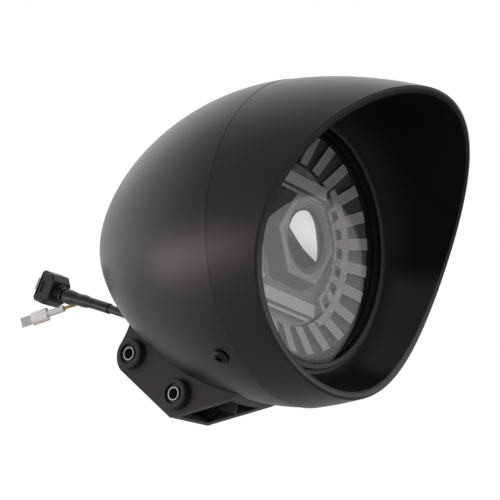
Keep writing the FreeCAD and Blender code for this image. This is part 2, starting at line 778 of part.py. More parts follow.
def hexagon_frame():
    """Six-sided frame that narrows forward round the projector."""
    frame = Part.makeLoft([hexagon(HEX_BASE_R, CONE_REAR_X), hexagon(HEX_R, HEX_FRONT_X)], True, True)
    front = [e for e in frame.Edges if e.BoundBox.XMin > HEX_FRONT_X - 1e-4]
    frame = frame.makeChamfer(HEX_ROUND, front)
    mouth = Part.makeCone(BARREL_R + SEAT_GAP, HEX_R * 0.78, HEX_FRONT_X - PROJECTOR_EDGE_X + 1,
                          V(PROJECTOR_EDGE_X, 0, 0), X_AXIS)
    frame = frame.cut([disc(2 * CONE_REAR_X, -CONE_REAR_X, BARREL_R + SEAT_GAP), mouth])
    return lifted(rolled(frame, LAMP_TURN))


def lifted(shape):
    """The shape moved up to the projector's axis."""
    out = shape.copy()
    out.translate(V(0, 0, PROJECTOR_LIFT))
    return out


def projector_lens():
    """Glass dome of the projector."""
    rise = PROJECTOR_RISE
    radius = (PROJECTOR_R * PROJECTOR_R + rise * rise) / (2 * rise)
    tip = PROJECTOR_EDGE_X + rise
    dome = Part.makeSphere(radius, V(tip - radius, 0, 0), X_AXIS)
    return lifted(dome.common(disc(PROJECTOR_EDGE_X - PROJECTOR_EDGE_T, tip + 1, PROJECTOR_R)))


def projector_ring():
    """Ring that holds the glass dome in front of the barrel."""
    back = PROJECTOR_EDGE_X - PROJECTOR_EDGE_T
    ring = tube(back - 1.5, PROJECTOR_EDGE_X, PROJECTOR_R + SEAT_GAP, PROJECTOR_RING_R)
    seat = tube(back - 1.5, back, PROJECTOR_R - 1.5, PROJECTOR_R + 1)
    return lifted(joined([ring, seat]))


MAIN_BOARD_X = TUB_REAR_X + TUB_WALL + BOARD_T


def projector_barrel():
    """Tube from the main board to the projector's ring."""
    front = PROJECTOR_EDGE_X - PROJECTOR_EDGE_T - 1.5
    return lifted(tube(MAIN_BOARD_X, front, BARREL_R - BARREL_WALL, BARREL_R))


def main_led_board():
    """Round board on the tub's back."""
    return disc(MAIN_BOARD_X - BOARD_T, MAIN_BOARD_X, BARREL_R + MAIN_BOARD_MARGIN)


def main_led():
    """Light source in the middle of the main board."""
    return lifted(Part.makeBox(LED_T, LED_W, LED_W, V(MAIN_BOARD_X, -LED_W / 2, -LED_W / 2)))


def ring_led_board():
    """Ring-shaped board on the tub's ledge, behind the light sticks."""
    outer = CONE_FRONT_R - BEZEL_T - SLIDE_GAP
    return tube(LEDGE_X, LEDGE_X + BOARD_T, outer - RING_BOARD_W, outer)


def heat_sink():
    """Finned cooler on the tub's back."""
    back = TUB_REAR_X - SINK_BASE_T
    sink = disc(back, TUB_REAR_X, SINK_R)
    fins = []
    for k in range(SINK_FIN_COUNT):
        y = (k - (SINK_FIN_COUNT - 1) / 2) * SINK_FIN_PITCH
        corner = V(back - SINK_FIN_H, y - SINK_FIN_T / 2, -SINK_R)
        fin = Part.makeBox(SINK_FIN_H + 1, SINK_FIN_T, 2 * SINK_R, corner)
        fins.append(fin.common(disc(back - SINK_FIN_H, back + 1, SINK_R)))
    sink = joined([sink] + fins)
    cuts = []
    for y, z in sink_spots():
        cuts.append(rod(V(back - SINK_FIN_H - 1, y, z), X_AXIS, SINK_SCREW_R * 2 + 1, SINK_FIN_H + 1))
        cuts.append(rod(V(back - 1, y, z), X_AXIS, SINK_SCREW_R + SLIDE_GAP, SINK_BASE_T + 2))
    return sink.cut(cuts)


def heat_sink_screws():
    """Four screws that hold the heat sink to the tub."""
    back = TUB_REAR_X - SINK_BASE_T
    screws = []
    for y, z in sink_spots():
        head = pan_head(V(back, y, z), V(-1, 0, 0), SINK_SCREW_R * 1.9, SINK_HEAD_H)
        shank = rod(V(back - 0.5, y, z), X_AXIS, SINK_SCREW_R, SINK_BASE_T + TUB_WALL + 1)
        screws.append(joined([head, shank]))
    return group(screws)


HALF_W = BRACKET_W / 2


def ear_outline(inset):
    """The bracket's side outline, drawn in from its rear and lower edges by an inset."""
    radius = EAR_END_R - inset
    lower = WEB_END - REAR_BOLT
    reach = lower.Length
    tangent = math.atan2(lower.z, lower.x) - math.acos(EAR_END_R / reach)
    outward = V(math.cos(tangent), 0, math.sin(tangent))
    touch = REAR_BOLT + outward * radius
    corner = WEB_END - outward * inset
    top_angle = math.radians(140)
    start = REAR_BOLT + V(math.cos(top_angle), 0, math.sin(top_angle)) * radius
    middle = REAR_BOLT + V(-1, 0, -0.1).normalize() * radius
    top = EAR_TOP + V(inset, 0, 0)
    nose = V(0, 0, EAR_FRONT.z + 0.1 * SHELL_R)
    return [
        Part.Arc(start, middle, touch).toShape(),
        line(touch, corner),
        line(corner, EAR_FRONT),
        line(EAR_FRONT, nose),
        line(nose, V(0, 0, EAR_TOP.z)),
        line(V(0, 0, EAR_TOP.z), top),
        bezier(top, top + V(-1.5, 0, -5), start),
    ]


def mount_bracket():
    """Hollow bracket: two ears, a lower web and a saddle that follows the bucket."""
    block = face_of(ear_outline(0)).extrude(V(0, BRACKET_W, 0))
    block.translate(V(0, -HALF_W, 0))
    inner_w = BRACKET_W - 2 * EAR_T
    core = face_of(ear_outline(WEB_T)).extrude(V(0, inner_w, 0))
    core.translate(V(0, -inner_w / 2, 0))
    open_corner = WEB_END + V(WEB_OPEN, -inner_w / 2, -0.2 * SHELL_R)
    front_open = Part.makeBox(1.3 * SHELL_R, inner_w, 0.6 * SHELL_R, open_corner)
    core = core.fuse(front_open).cut(bucket_body(SADDLE_T))
    block = block.cut(core)
    bosses = []
    cuts = [bucket_body(SEAT_GAP)]
    for x in BRACKET_SCREW_XS:
        point, normal = bucket_point(x)
        bosses.append(rod(point + normal, normal, BRACKET_BOSS_R, SADDLE_T + BRACKET_BOSS_H))
        cuts.append(rod(point - normal, normal, BRACKET_SCREW_R + THREAD_GAP, SADDLE_T + BRACKET_BOSS_H + 4))
    block = joined([block] + bosses)
    for bolt in (REAR_BOLT, FRONT_BOLT):
        cuts.append(rod(bolt - Y_AXIS * HALF_W * 2, Y_AXIS, GROMMET_NECK_R + SEAT_GAP, HALF_W * 4))
        cuts.append(rod(bolt - Y_AXIS * inner_w / 2, Y_AXIS, GROMMET_FLANGE_R + SLIDE_GAP, inner_w))
    block = block.cut(cuts)
    return max(block.Solids, key=lambda s: s.Volume)


def bracket_screws():
    """Two screws from inside the bucket into the saddle's bosses."""
    screws = []
    for x in BRACKET_SCREW_XS:
        point, normal = bucket_point(x)
        under = point - normal * (SHELL_WALL + SEAT_GAP + 0.2 + WASHER_T)
        flat = Part.Face(hexagon(BRACKET_HEAD_R, 0)).extrude(V(BRACKET_HEAD_H, 0, 0))
        flat.Placement = FreeCAD.Placement(under - normal * BRACKET_HEAD_H, FreeCAD.Rotation(X_AXIS, normal))
        length = WASHER_T + SHELL_WALL + SADDLE_T + BRACKET_BOSS_H + 1
        screws.append(joined([flat, rod(under - normal, normal, BRACKET_SCREW_R, length)]))
    return group(screws)


def bracket_washers():
    """Washers under those screws."""
    washers = []
    for x in BRACKET_SCREW_XS:
        point, normal = bucket_point(x)
        base = point - normal * (SHELL_WALL + SEAT_GAP + 0.2 + WASHER_T)
        washer = rod(base, normal, WASHER_R, WASHER_T)
        washers.append(washer.cut(rod(base - normal, normal, BRACKET_SCREW_R + SLIDE_GAP, WASHER_T + 2)))
    return group(washers)


SLEEVE_R = BOLT_R + SLEEVE_WALL


def bracket_grommets():
    """Rubber bushes in the ears, one for each bolt on each side."""
    inner_y = HALF_W - EAR_T - GROMMET_INNER_T
    outer_y = HALF_W + GROMMET_FLANGE_T
    profile = [
        V(SLEEVE_R + SEAT_GAP, inner_y, 0),
        V(GROMMET_FLANGE_R, inner_y, 0),
        V(GROMMET_FLANGE_R, HALF_W - EAR_T, 0),
        V(GROMMET_NECK_R, HALF_W - EAR_T, 0),
        V(GROMMET_NECK_R, HALF_W, 0),
        V(GROMMET_FLANGE_R, HALF_W, 0),
        V(GROMMET_FLANGE_R, outer_y - 0.8, 0),
        V(GROMMET_FLANGE_R - 0.8, outer_y, 0),
        V(GROMMET_CUP_R, outer_y, 0),
        V(GROMMET_CUP_R, outer_y - GROMMET_CUP_DEPTH, 0),
        V(SLEEVE_R + SEAT_GAP, outer_y - GROMMET_CUP_DEPTH, 0),
    ]
    bush = face_of(profile).revolve(V(0, 0, 0), Y_AXIS, 360)
    bushes = []
    for bolt in (REAR_BOLT, FRONT_BOLT):
        one = bush.copy()
        one.translate(bolt)
        bushes += [one, mirrored(one)]
    return group(bushes)


def grommet_sleeves():
    """Steel sleeves that carry the bolts from ear to ear."""
    half = HALF_W + GROMMET_FLANGE_T - 0.4
    sleeves = []
    for bolt in (REAR_BOLT, FRONT_BOLT):
        outer = rod(bolt - Y_AXIS * half, Y_AXIS, SLEEVE_R, 2 * half)
        sleeves.append(outer.cut(rod(bolt - Y_AXIS * (half + 1), Y_AXIS, BOLT_R, 2 * half + 2)))
    return group(sleeves)


def cable_grommet():
    """Rubber bush in the bucket's cable hole."""
    start = CABLE_EXIT - CABLE_DIR * CABLE_GROMMET_IN
    return rod(start, CABLE_DIR, CABLE_GROMMET_R, CABLE_GROMMET_IN + CABLE_GROMMET_OUT)


def cord_tube(points, radius, label):
    """A round cord along straight runs joined by the largest tangent arcs that fit."""
    edges = []
    start = points[0]
    radii = []
    for before, here, after in zip(points, points[1:], points[2:]):
        a = (before - here).normalize()
        b = (after - here).normalize()
        turn = math.pi - a.getAngle(b)
        reach = 0.45 * min((before - here).Length, (after - here).Length)
        bend = reach / math.tan(turn / 2)
        radii.append(round(bend, 1))
        way_in = here + a * reach
        way_out = here + b * reach
        centre = here + (a + b).normalize() * (bend / math.cos(turn / 2))
        middle = centre + (here - centre).normalize() * bend
        edges.append(line(start, way_in))
        edges.append(Part.Arc(way_in, middle, way_out).toShape())
        start = way_out
    edges.append(line(start, points[-1]))
    path = Part.Wire(edges)
    ring = Part.Wire(Part.makeCircle(radius, points[0], points[1] - points[0]))
    solid = path.makePipeShell([ring], True, False)
    expected = math.pi * radius * radius * path.Length
    share = round(solid.Volume / expected, 4)
    print(label, "length", round(path.Length, 1), "radii", radii, "volume share", share)
    return solid


def along(start, direction):
    """A placement that lays the X axis along a direction from a point."""
    return FreeCAD.Placement(start, FreeCAD.Rotation(X_AXIS, direction))


def cable_sleeve():
    """Shrunk sleeve on the middle of the cable."""
    start, end = CABLE_ROUTE[1], CABLE_ROUTE[2]
    way = (end - start).normalize()
    length = (end - start).Length - 1.2
    sleeve = tube(0, length, CABLE_R + SLIDE_GAP, CABLE_SLEEVE_R)
    sleeve.Placement = along(start + way * 0.8, way)
    return sleeve


def splice_sleeve():
    """Soft lumpy sleeve over the joints between the cable and the plug, with the yellow wire's outlet."""
    start, end = CABLE_ROUTE[2], CABLE_ROUTE[3]
    way = (end - start).normalize()
    length = (end - start).Length
    swell = SPLICE_BULGE_R - SPLICE_NECK_R
    poles = []
    for share, lump in ((0, 0), (0.13, 0.1), (0.33, 0.75), (0.5, 0.55), (0.64, 0.95), (1, 1)):
        poles.append(V(length * share, 0, SPLICE_NECK_R + swell * lump))
    curve = Part.BSplineCurve()
    curve.interpolate(poles)
    profile = [
        curve.toShape(),
        line(poles[-1], V(length, 0, 0)),
        line(V(length, 0, 0), V(0, 0, 0)),
        line(V(0, 0, 0), poles[0]),
    ]
    sleeve = turned(profile)
    sleeve.Placement = along(start, way)
    out = (WIRE_ROUTE[1] - WIRE_ROUTE[0]).normalize()
    outlet = rod(WIRE_ROUTE[0] - out * 2.6, out, WIRE_R + 0.5, 2.6)
    sleeve = joined([sleeve, outlet])
    return sleeve.cut(cord_tube(CABLE_ROUTE, CABLE_R + SLIDE_GAP, "sleeve bore"))


PLUG_DIR = V(-math.cos(math.radians(PLUG_ANGLE)), 0, math.sin(math.radians(PLUG_ANGLE)))
PLUG_START = CABLE_ROUTE[3] + PLUG_DIR * PLUG_GAP
PLUG_UP = V(math.sin(math.radians(PLUG_ANGLE)), 0, math.cos(math.radians(PLUG_ANGLE)))


def plug_frame():
    """Placement of the plug: X along it, Z across its height."""
    return FreeCAD.Placement(PLUG_START, FreeCAD.Rotation(PLUG_DIR, V(0, -1, 0), PLUG_UP, "XZY"))


def plug_boot():
    """Round collar and ribbed boot behind the plug."""
    start = BOOT_COLLAR_T
    pitch = (BOOT_LENGTH - start) / BOOT_RIB_COUNT
    points = [V(0, 0, 0), V(0, 0, BOOT_COLLAR_R), V(start, 0, BOOT_COLLAR_R)]
    for k in range(BOOT_RIB_COUNT):
        grow = (BOOT_END_R - BOOT_COLLAR_R) * (k + 1) / BOOT_RIB_COUNT
        low = BOOT_COLLAR_R + grow - BOOT_RIB_H
        points += [
            V(start + pitch * k, 0, low),
            V(start + pitch * (k + 0.45), 0, low),
            V(start + pitch * (k + 0.45), 0, low + BOOT_RIB_H),
            V(start + pitch * (k + 1), 0, low + BOOT_RIB_H),
        ]
    points.append(V(BOOT_LENGTH, 0, 0))
    boot = turned(points)
    boot.Placement = plug_frame()
    return boot


def plug_outline(x, height, width):
    """A rectangle with cut corners, square to the plug's axis."""
    cut = 0.08 * height
    h, w = height / 2, width / 2
    return Part.makePolygon([
        V(x, -w + cut, -h), V(x, w - cut, -h), V(x, w, -h + cut), V(x, w, h - cut),
        V(x, w - cut, h), V(x, -w + cut, h), V(x, -w, h - cut), V(x, -w, -h + cut), V(x, -w + cut, -h),
    ])


def blade_slots(grow, out, deep):
    """Three blades across the plug's face: one flat at the top and bottom and one upright at the far side."""
    face = BOOT_LENGTH + PLUG_LENGTH
    thick, wide = BLADE_T + 2 * grow, BLADE_W + 2 * grow
    side = PLUG_W / 2 - BLADE_INSET
    top = PLUG_H / 2 - BLADE_INSET
    start = face - deep - grow
    length = deep + grow + out
    return [
        Part.makeBox(length, wide, thick, V(start, -wide / 2, -top - thick / 2)),
        Part.makeBox(length, wide, thick, V(start, -wide / 2, top - thick / 2)),
        Part.makeBox(length, thick, wide, V(start, side - thick / 2, -wide / 2)),
    ]


def plug_body():
    """Moulded three-blade plug with finger recesses on its sides."""
    start, face = BOOT_LENGTH, BOOT_LENGTH + PLUG_LENGTH
    shoulder = start + PLUG_TAPER
    back = 2 * BOOT_END_R + 0.6
    rear = plug_outline(start, back, back + 3)
    taper = Part.makeLoft([rear, plug_outline(shoulder, PLUG_H, PLUG_W)], True, True)
    block = Part.Face(plug_outline(shoulder, PLUG_H, PLUG_W)).extrude(V(face - shoulder, 0, 0))
    body = joined([taper, block])
    edges = [e for e in body.Edges if e.BoundBox.XMin > face - 1e-4]
    body = body.makeFillet(PLUG_ROUND, edges)
    cuts = blade_slots(SEAT_GAP, 1, BLADE_IN)
    for side in (1, -1):
        slot = Part.makeBox(1.2, 2.4, PLUG_H * 0.62, V(face - 2.6, side * PLUG_W / 2 - 1.2, -PLUG_H * 0.31))
        grip = Part.makeBox(4.0, 1.6, PLUG_H * 0.36, V(shoulder + 0.6, side * PLUG_W / 2 - 0.8, -PLUG_H * 0.18))
        cuts += [slot, grip]
    body = body.cut(cuts)
    body.Placement = plug_frame()
    return body


def plug_blades():
    """Three flat blades of the plug."""
    blades = group(blade_slots(0, BLADE_OUT, BLADE_IN))
    blades.Placement = plug_frame()
    return blades


def terminal_frame():
    """Placement of the yellow wire's boot and blade: X along the wire's end, Z across the blade."""
    start = WIRE_ROUTE[3] + (WIRE_ROUTE[4] - WIRE_ROUTE[3]) * 0.36
    way = (WIRE_ROUTE[5] - start).normalize()
    turn = FreeCAD.Rotation(way, V(0, -1, 0), V(0, 0, 1), "XZY")
    return FreeCAD.Placement(start, turn), (WIRE_ROUTE[5] - start).Length


def oval(x, height, thick):
    """A rounded slot outline square to the wire's end."""
    r = thick / 2
    h = height / 2 - r
    return Part.Wire([
        line(V(x, r, -h), V(x, r, h)),
        Part.Arc(V(x, r, h), V(x, 0, h + r), V(x, -r, h)).toShape(),
        line(V(x, -r, h), V(x, -r, -h)),
        Part.Arc(V(x, -r, -h), V(x, 0, -h - r), V(x, r, -h)).toShape(),
    ])


def terminal_boot():
    """Clear boot: a narrow tube on the wire that opens into a flat hood over the blade."""
    frame, reach = terminal_frame()
    neck = reach - 1.0
    wide = oval(neck, TERMINAL_HOOD_H, TERMINAL_HOOD_T)
    outer = joined([
        disc(0, neck + 1, TERMINAL_TUBE_R),
        Part.Face(wide).extrude(V(TERMINAL_HOOD_LENGTH, 0, 0)),
    ])
    thinner = 2 * TERMINAL_WALL
    inner_wide = oval(neck + TERMINAL_WALL, TERMINAL_HOOD_H - thinner, TERMINAL_HOOD_T - thinner)
    hollow = joined([
        disc(-1, neck + 2, TERMINAL_TUBE_R - TERMINAL_WALL),
        Part.Face(inner_wide).extrude(V(TERMINAL_HOOD_LENGTH + 1, 0, 0)),
    ])
    boot = outer.cut(hollow)
    boot.Placement = frame
    return boot


def wire_terminal():
    """Crimped barrel on the yellow wire's end and the flat blade ahead of it."""
    frame, reach = terminal_frame()
    crimp = disc(reach + SEAT_GAP, reach + 4.5, WIRE_R + 0.5)
    blade_start = reach + 4.0
    hood_end = reach - 1.0 + TERMINAL_HOOD_LENGTH
    blade = Part.makeBox(hood_end + TERMINAL_BLADE_OUT - blade_start, TERMINAL_BLADE_T, TERMINAL_BLADE_W,
                         V(blade_start, -TERMINAL_BLADE_T / 2, -TERMINAL_BLADE_W / 2))
    terminal = joined([crimp, blade])
    terminal.Placement = frame
    return terminal


NODES = {
    "rear_bucket": rear_bucket,
    "front_hood": front_hood,
    "hood_seal": hood_seal,
    "hood_screws": hood_screws,
    "hood_nuts": hood_nuts,
    "bezel_ring": bezel_ring,
    "lens_cover": lens_cover,
    "lens_seal": lens_seal,
    "lamp_housing": lamp_housing,
    "retaining_ring": retaining_ring,
    "ring_screws": ring_screws,
    "reflector_bezel": reflector_bezel,
    "light_sticks": light_sticks,
    "upper_light_bar": lambda: light_bar(1),
    "lower_light_bar": lambda: light_bar(-1),
    "side_light_arcs": side_light_arcs,
    "guide_ring": guide_ring,
    "hexagon_frame": hexagon_frame,
    "projector_lens": projector_lens,
    "projector_ring": projector_ring,
    "projector_barrel": projector_barrel,
    "main_led_board": main_led_board,
    "main_led": main_led,
    "ring_led_board": ring_led_board,
    "heat_sink": heat_sink,
    "heat_sink_screws": heat_sink_screws,
    "mount_bracket": mount_bracket,
    "bracket_screws": bracket_screws,
    "bracket_washers": bracket_washers,
    "bracket_grommets": bracket_grommets,
    "grommet_sleeves": grommet_sleeves,
    "cable_grommet": cable_grommet,
    "main_cable": lambda: cord_tube(CABLE_ROUTE, CABLE_R, "main cable"),
    "cable_sleeve": cable_sleeve,
    "splice_sleeve": splice_sleeve,
    "plug_boot": plug_boot,
    "plug_body": plug_body,
    "plug_blades": plug_blades,
    "signal_wire": lambda: cord_tube(WIRE_ROUTE, WIRE_R, "signal wire"),
    "terminal_boot": terminal_boot,
    "wire_terminal": wire_terminal,
}


def main():
    """Write every piece to its own file."""
    os.makedirs("parts", exist_ok=True)
    for name, make in NODES.items():
        shape = make()
        shape.translate(V(SEAM_X, 0, AXIS_Z))
        print(name, "valid", shape.isValid(), "solids", len(shape.Solids), "cm3", round(shape.Volume / 1000, 2))
        shape.exportStep("parts/" + name + ".step")


main()
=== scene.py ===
"""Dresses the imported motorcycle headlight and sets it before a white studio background.

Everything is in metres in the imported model's frame: +X is the way the light shines, +Y the rider's left and
+Z up. The origin lies on the axis of the rear bracket bolt. A finish that follows the lamp's shape measures
in millimetres about the centre of the seam between the two shells. An Edge is a pair of values between which
something fades in.
"""

import logging
import math
from dataclasses import dataclass, field
from enum import Enum
from typing import Any

import bpy
from mathutils import Matrix, Vector

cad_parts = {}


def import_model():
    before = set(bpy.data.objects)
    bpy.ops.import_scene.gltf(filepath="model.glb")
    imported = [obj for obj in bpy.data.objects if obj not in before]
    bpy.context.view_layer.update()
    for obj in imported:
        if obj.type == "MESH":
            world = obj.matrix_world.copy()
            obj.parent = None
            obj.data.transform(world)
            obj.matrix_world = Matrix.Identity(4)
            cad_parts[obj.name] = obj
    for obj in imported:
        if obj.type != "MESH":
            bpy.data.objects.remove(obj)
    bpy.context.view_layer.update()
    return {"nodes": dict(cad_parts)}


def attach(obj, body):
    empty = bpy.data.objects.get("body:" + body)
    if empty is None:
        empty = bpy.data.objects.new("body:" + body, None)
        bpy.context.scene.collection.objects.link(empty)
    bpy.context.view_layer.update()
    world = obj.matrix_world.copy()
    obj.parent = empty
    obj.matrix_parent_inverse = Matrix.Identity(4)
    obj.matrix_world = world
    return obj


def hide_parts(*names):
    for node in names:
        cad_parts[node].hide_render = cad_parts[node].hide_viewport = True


log = logging.getLogger("headlight")

Point = tuple[float, float, float]
Colour = tuple[float, float, float, float]
Edge = tuple[float, float]

MM = 0.001
SEAM_CENTRE: Point = (0.1104, 0.0, 0.065)
LAMP_TURN = math.radians(-3.7)
PROJECTOR_LIFT = 2.0
HEXAGON = 22.4
STICKS = 24
PAINT_SHEEN: Colour = (0.97, 0.9, 1.0, 1.0)
WHITE: Colour = (1.0, 1.0, 1.0, 1.0)


def ink(value: float) -> Colour:
    """A near-black with the faint violet cast of the paint."""
    return (value * 1.06, value * 0.94, value * 1.16, 1.0)


def grey(value: float, warm: float = 0.0) -> Colour:
    """A near-grey colour, warmer for a positive second number."""
    return (value * (1.0 + warm), value, value * (1.0 - warm), 1.0)


def frost(value: float) -> Colour:
    """A pale grey with the faint rose cast of the lamp's clear plastic."""
    return (min(1.0, value * 1.03), value * 0.97, min(1.0, value * 1.03), 1.0)


class Wire:
    """One output socket of a node tree, on which plain arithmetic adds Math nodes."""

    def __init__(self, graph: "Graph", socket: bpy.types.NodeSocket) -> None:
        """Keeps the socket and the graph it belongs to."""
        self.graph = graph
        self.socket = socket

    def _math(self, operation: str, *values: Any) -> "Wire":
        """A Math node on the given values."""
        return self.graph.node("ShaderNodeMath", {"operation": operation}, dict(enumerate(values)))

    def __add__(self, other: Any) -> "Wire":
        """Sum."""
        return self._math("ADD", self, other)

    def __radd__(self, other: Any) -> "Wire":
        """Sum with a number on the left."""
        return self._math("ADD", other, self)

    def __sub__(self, other: Any) -> "Wire":
        """Difference."""
        return self._math("SUBTRACT", self, other)

    def __rsub__(self, other: Any) -> "Wire":
        """Difference with a number on the left."""
        return self._math("SUBTRACT", other, self)

    def __mul__(self, other: Any) -> "Wire":
        """Product."""
        return self._math("MULTIPLY", self, other)

    def __rmul__(self, other: Any) -> "Wire":
        """Product with a number on the left."""
        return self._math("MULTIPLY", other, self)

    def __truediv__(self, other: Any) -> "Wire":
        """Quotient."""
        return self._math("DIVIDE", self, other)

    def __pow__(self, other: Any) -> "Wire":
        """Power."""
        return self._math("POWER", self, other)

    def sqrt(self) -> "Wire":
        """Square root."""
        return self._math("SQRT", self)

    def sin(self) -> "Wire":
        """Sine of an angle in radians."""
        return self._math("SINE", self)

    def cos(self) -> "Wire":
        """Cosine of an angle in radians."""
        return self._math("COSINE", self)

    def exp(self) -> "Wire":
        """e to the power of the value."""
        return self._math("EXPONENT", self)

    def most(self, other: Any) -> "Wire":
        """The larger of two values."""
        return self._math("MAXIMUM", self, other)

    def wrap(self, low: float, high: float) -> "Wire":
        """Value brought between two limits by whole spans."""
        return self._math("WRAP", self, high, low)

    def size(self) -> "Wire":
        """Value without its sign."""
        return self._math("ABSOLUTE", self)

    def angle_to(self, other: "Wire") -> "Wire":
        """Angle of the point (other, self) about the origin, in radians."""
        return self._math("ARCTAN2", self, other)

    def step(self, low: float, high: float) -> "Wire":
        """Rises smoothly from 0 at low to 1 at high, or falls where high is the smaller.

        Args:
            low: value at which the result is 0.
            high: value at which the result is 1.

        Returns:
            The result, from 0 to 1.
        """
        ends = {1: low, 2: high, 3: 0.0, 4: 1.0} if low < high else {1: high, 2: low, 3: 1.0, 4: 0.0}
        smooth = {"interpolation_type": "SMOOTHSTEP"}
        return self.graph.node("ShaderNodeMapRange", smooth, {0: self, **ends})


class Graph:
    """A shader node tree, in which every node but the output comes from one method."""

    def __init__(self, tree: bpy.types.NodeTree) -> None:
        """Starts an empty tree."""
        self.tree = tree
        tree.nodes.clear()

    def node(self, kind: str, settings: dict[str, Any] | None = None, inputs: dict[Any, Any] | None = None,
             output: Any = 0) -> Wire:
        """Adds a node.

        Args:
            kind: the node's type name.
            settings: properties of the node, set first.
            inputs: values or wires by socket name or number.
            output: name or number of the output that is wanted.

        Returns:
            The wanted output as a wire.
        """
        made = self.tree.nodes.new(kind)
        for key, value in (settings or {}).items():
            setattr(made, key, value)
        for key, value in (inputs or {}).items():
            if isinstance(value, Wire):
                self.tree.links.new(value.socket, made.inputs[key])
            else:
                made.inputs[key].default_value = value
        return Wire(self, made.outputs[output])

    def place(self) -> Wire:
        """Object coordinates, in metres."""
        return self.node("ShaderNodeTexCoord", output="Object")

    def split(self, vector: Wire) -> tuple[Wire, Wire, Wire]:
        """The X, Y and Z of a vector."""
        outs = self.node("ShaderNodeSeparateXYZ", None, {0: vector}).socket.node.outputs
        return Wire(self, outs[0]), Wire(self, outs[1]), Wire(self, outs[2])

    def dot(self, vector: Wire, way: Point) -> Wire:
        """How far a vector runs along a way."""
        return self.node("ShaderNodeVectorMath", {"operation": "DOT_PRODUCT"}, {0: vector, 1: way}, "Value")

    def lamp_place(self) -> tuple[Wire, Wire, Wire, Wire]:
        """Millimetres about the seam's centre.

        Returns:
            Place along X, Y and Z, and distance from the lamp's axis.
        """
        ends = {0: self.place(), 1: SEAM_CENTRE}
        moved = self.node("ShaderNodeVectorMath", {"operation": "SUBTRACT"}, ends)
        x, y, z = (part * (1.0 / MM) for part in self.split(moved))
        return x, y, z, (y * y + z * z).sqrt()

    def insert_place(self, lift: float = 0.0) -> tuple[Wire, Wire]:
        """Millimetres on the face of the lamp insert, which is turned a little in its seat.

        Args:
            lift: height of the wanted origin above the lamp's axis.

        Returns:
            Place across the insert and up it.
        """
        _, y, z, _ = self.lamp_place()
        c, s = math.cos(LAMP_TURN), math.sin(LAMP_TURN)
        return y * c + z * s, z * c - y * s - lift

    def stick_turn(self) -> Wire:
        """Angle round the lamp's axis from the middle of a light stick, in radians."""
        _, y, z, _ = self.lamp_place()
        return z.angle_to(y) - (LAMP_TURN + math.pi / 2)

    def noise(self, per_metre: float, detail: float = 3.0, rough: float = 0.55) -> Wire:
        """Cloudy noise from 0 to 1 with so many lumps to the metre."""
        return self.node("ShaderNodeTexNoise", None,
                         {"Vector": self.place(), "Scale": per_metre, "Detail": detail, "Roughness": rough})

    def blend(self, share: Any, first: Any, second: Any) -> Wire:
        """A colour between two others."""
        return self.node("ShaderNodeMix", {"data_type": "RGBA"}, {0: share, 6: first, 7: second}, 2)

    def bump(self, height: Wire, depth: float, strength: float) -> Wire:
        """A normal from a height of 0 to 1 that stands for a real depth in metres."""
        relief = {"Height": height, "Distance": depth, "Strength": strength}
        return self.node("ShaderNodeBump", None, relief)

    def surface(self, **sockets: Any) -> Wire:
        """A Principled shader with the sockets named by keyword, underscores for spaces."""
        named = {key.replace("_", " "): value for key, value in sockets.items()}
        return self.node("ShaderNodeBsdfPrincipled", None, named)

    def finish(self, shader: Wire) -> None:
        """Links a shader to the material's output."""
        self.node_output(shader, "ShaderNodeOutputMaterial")

    def node_output(self, shader: Wire, kind: str) -> None:
        """Adds an output node of a kind and links the shader to it."""
        made = self.tree.nodes.new(kind)
        self.tree.links.new(shader.socket, made.inputs["Surface"])


MADE: dict["Finish", bpy.types.Material] = {}


@dataclass(frozen=True)
class Finish:
    """A surface finish that makes its own material."""

    name: str

    def material(self) -> bpy.types.Material:
        """Makes the material on first use and shares it afterwards.

        Returns:
            The material.
        """
        if self not in MADE:
            made = bpy.data.materials.new(self.name)
            made.use_nodes = True
            graph = Graph(made.node_tree)
            graph.finish(self.shader(graph))
            MADE[self] = made
        return MADE[self]

    def shader(self, graph: Graph) -> Wire:
        """The finish's shader; each finish has its own."""
        raise NotImplementedError

    def coat(self, piece: bpy.types.Object) -> None:
        """Puts the finish on every face of a piece."""
        piece.data.materials.clear()
        piece.data.materials.append(self.material())


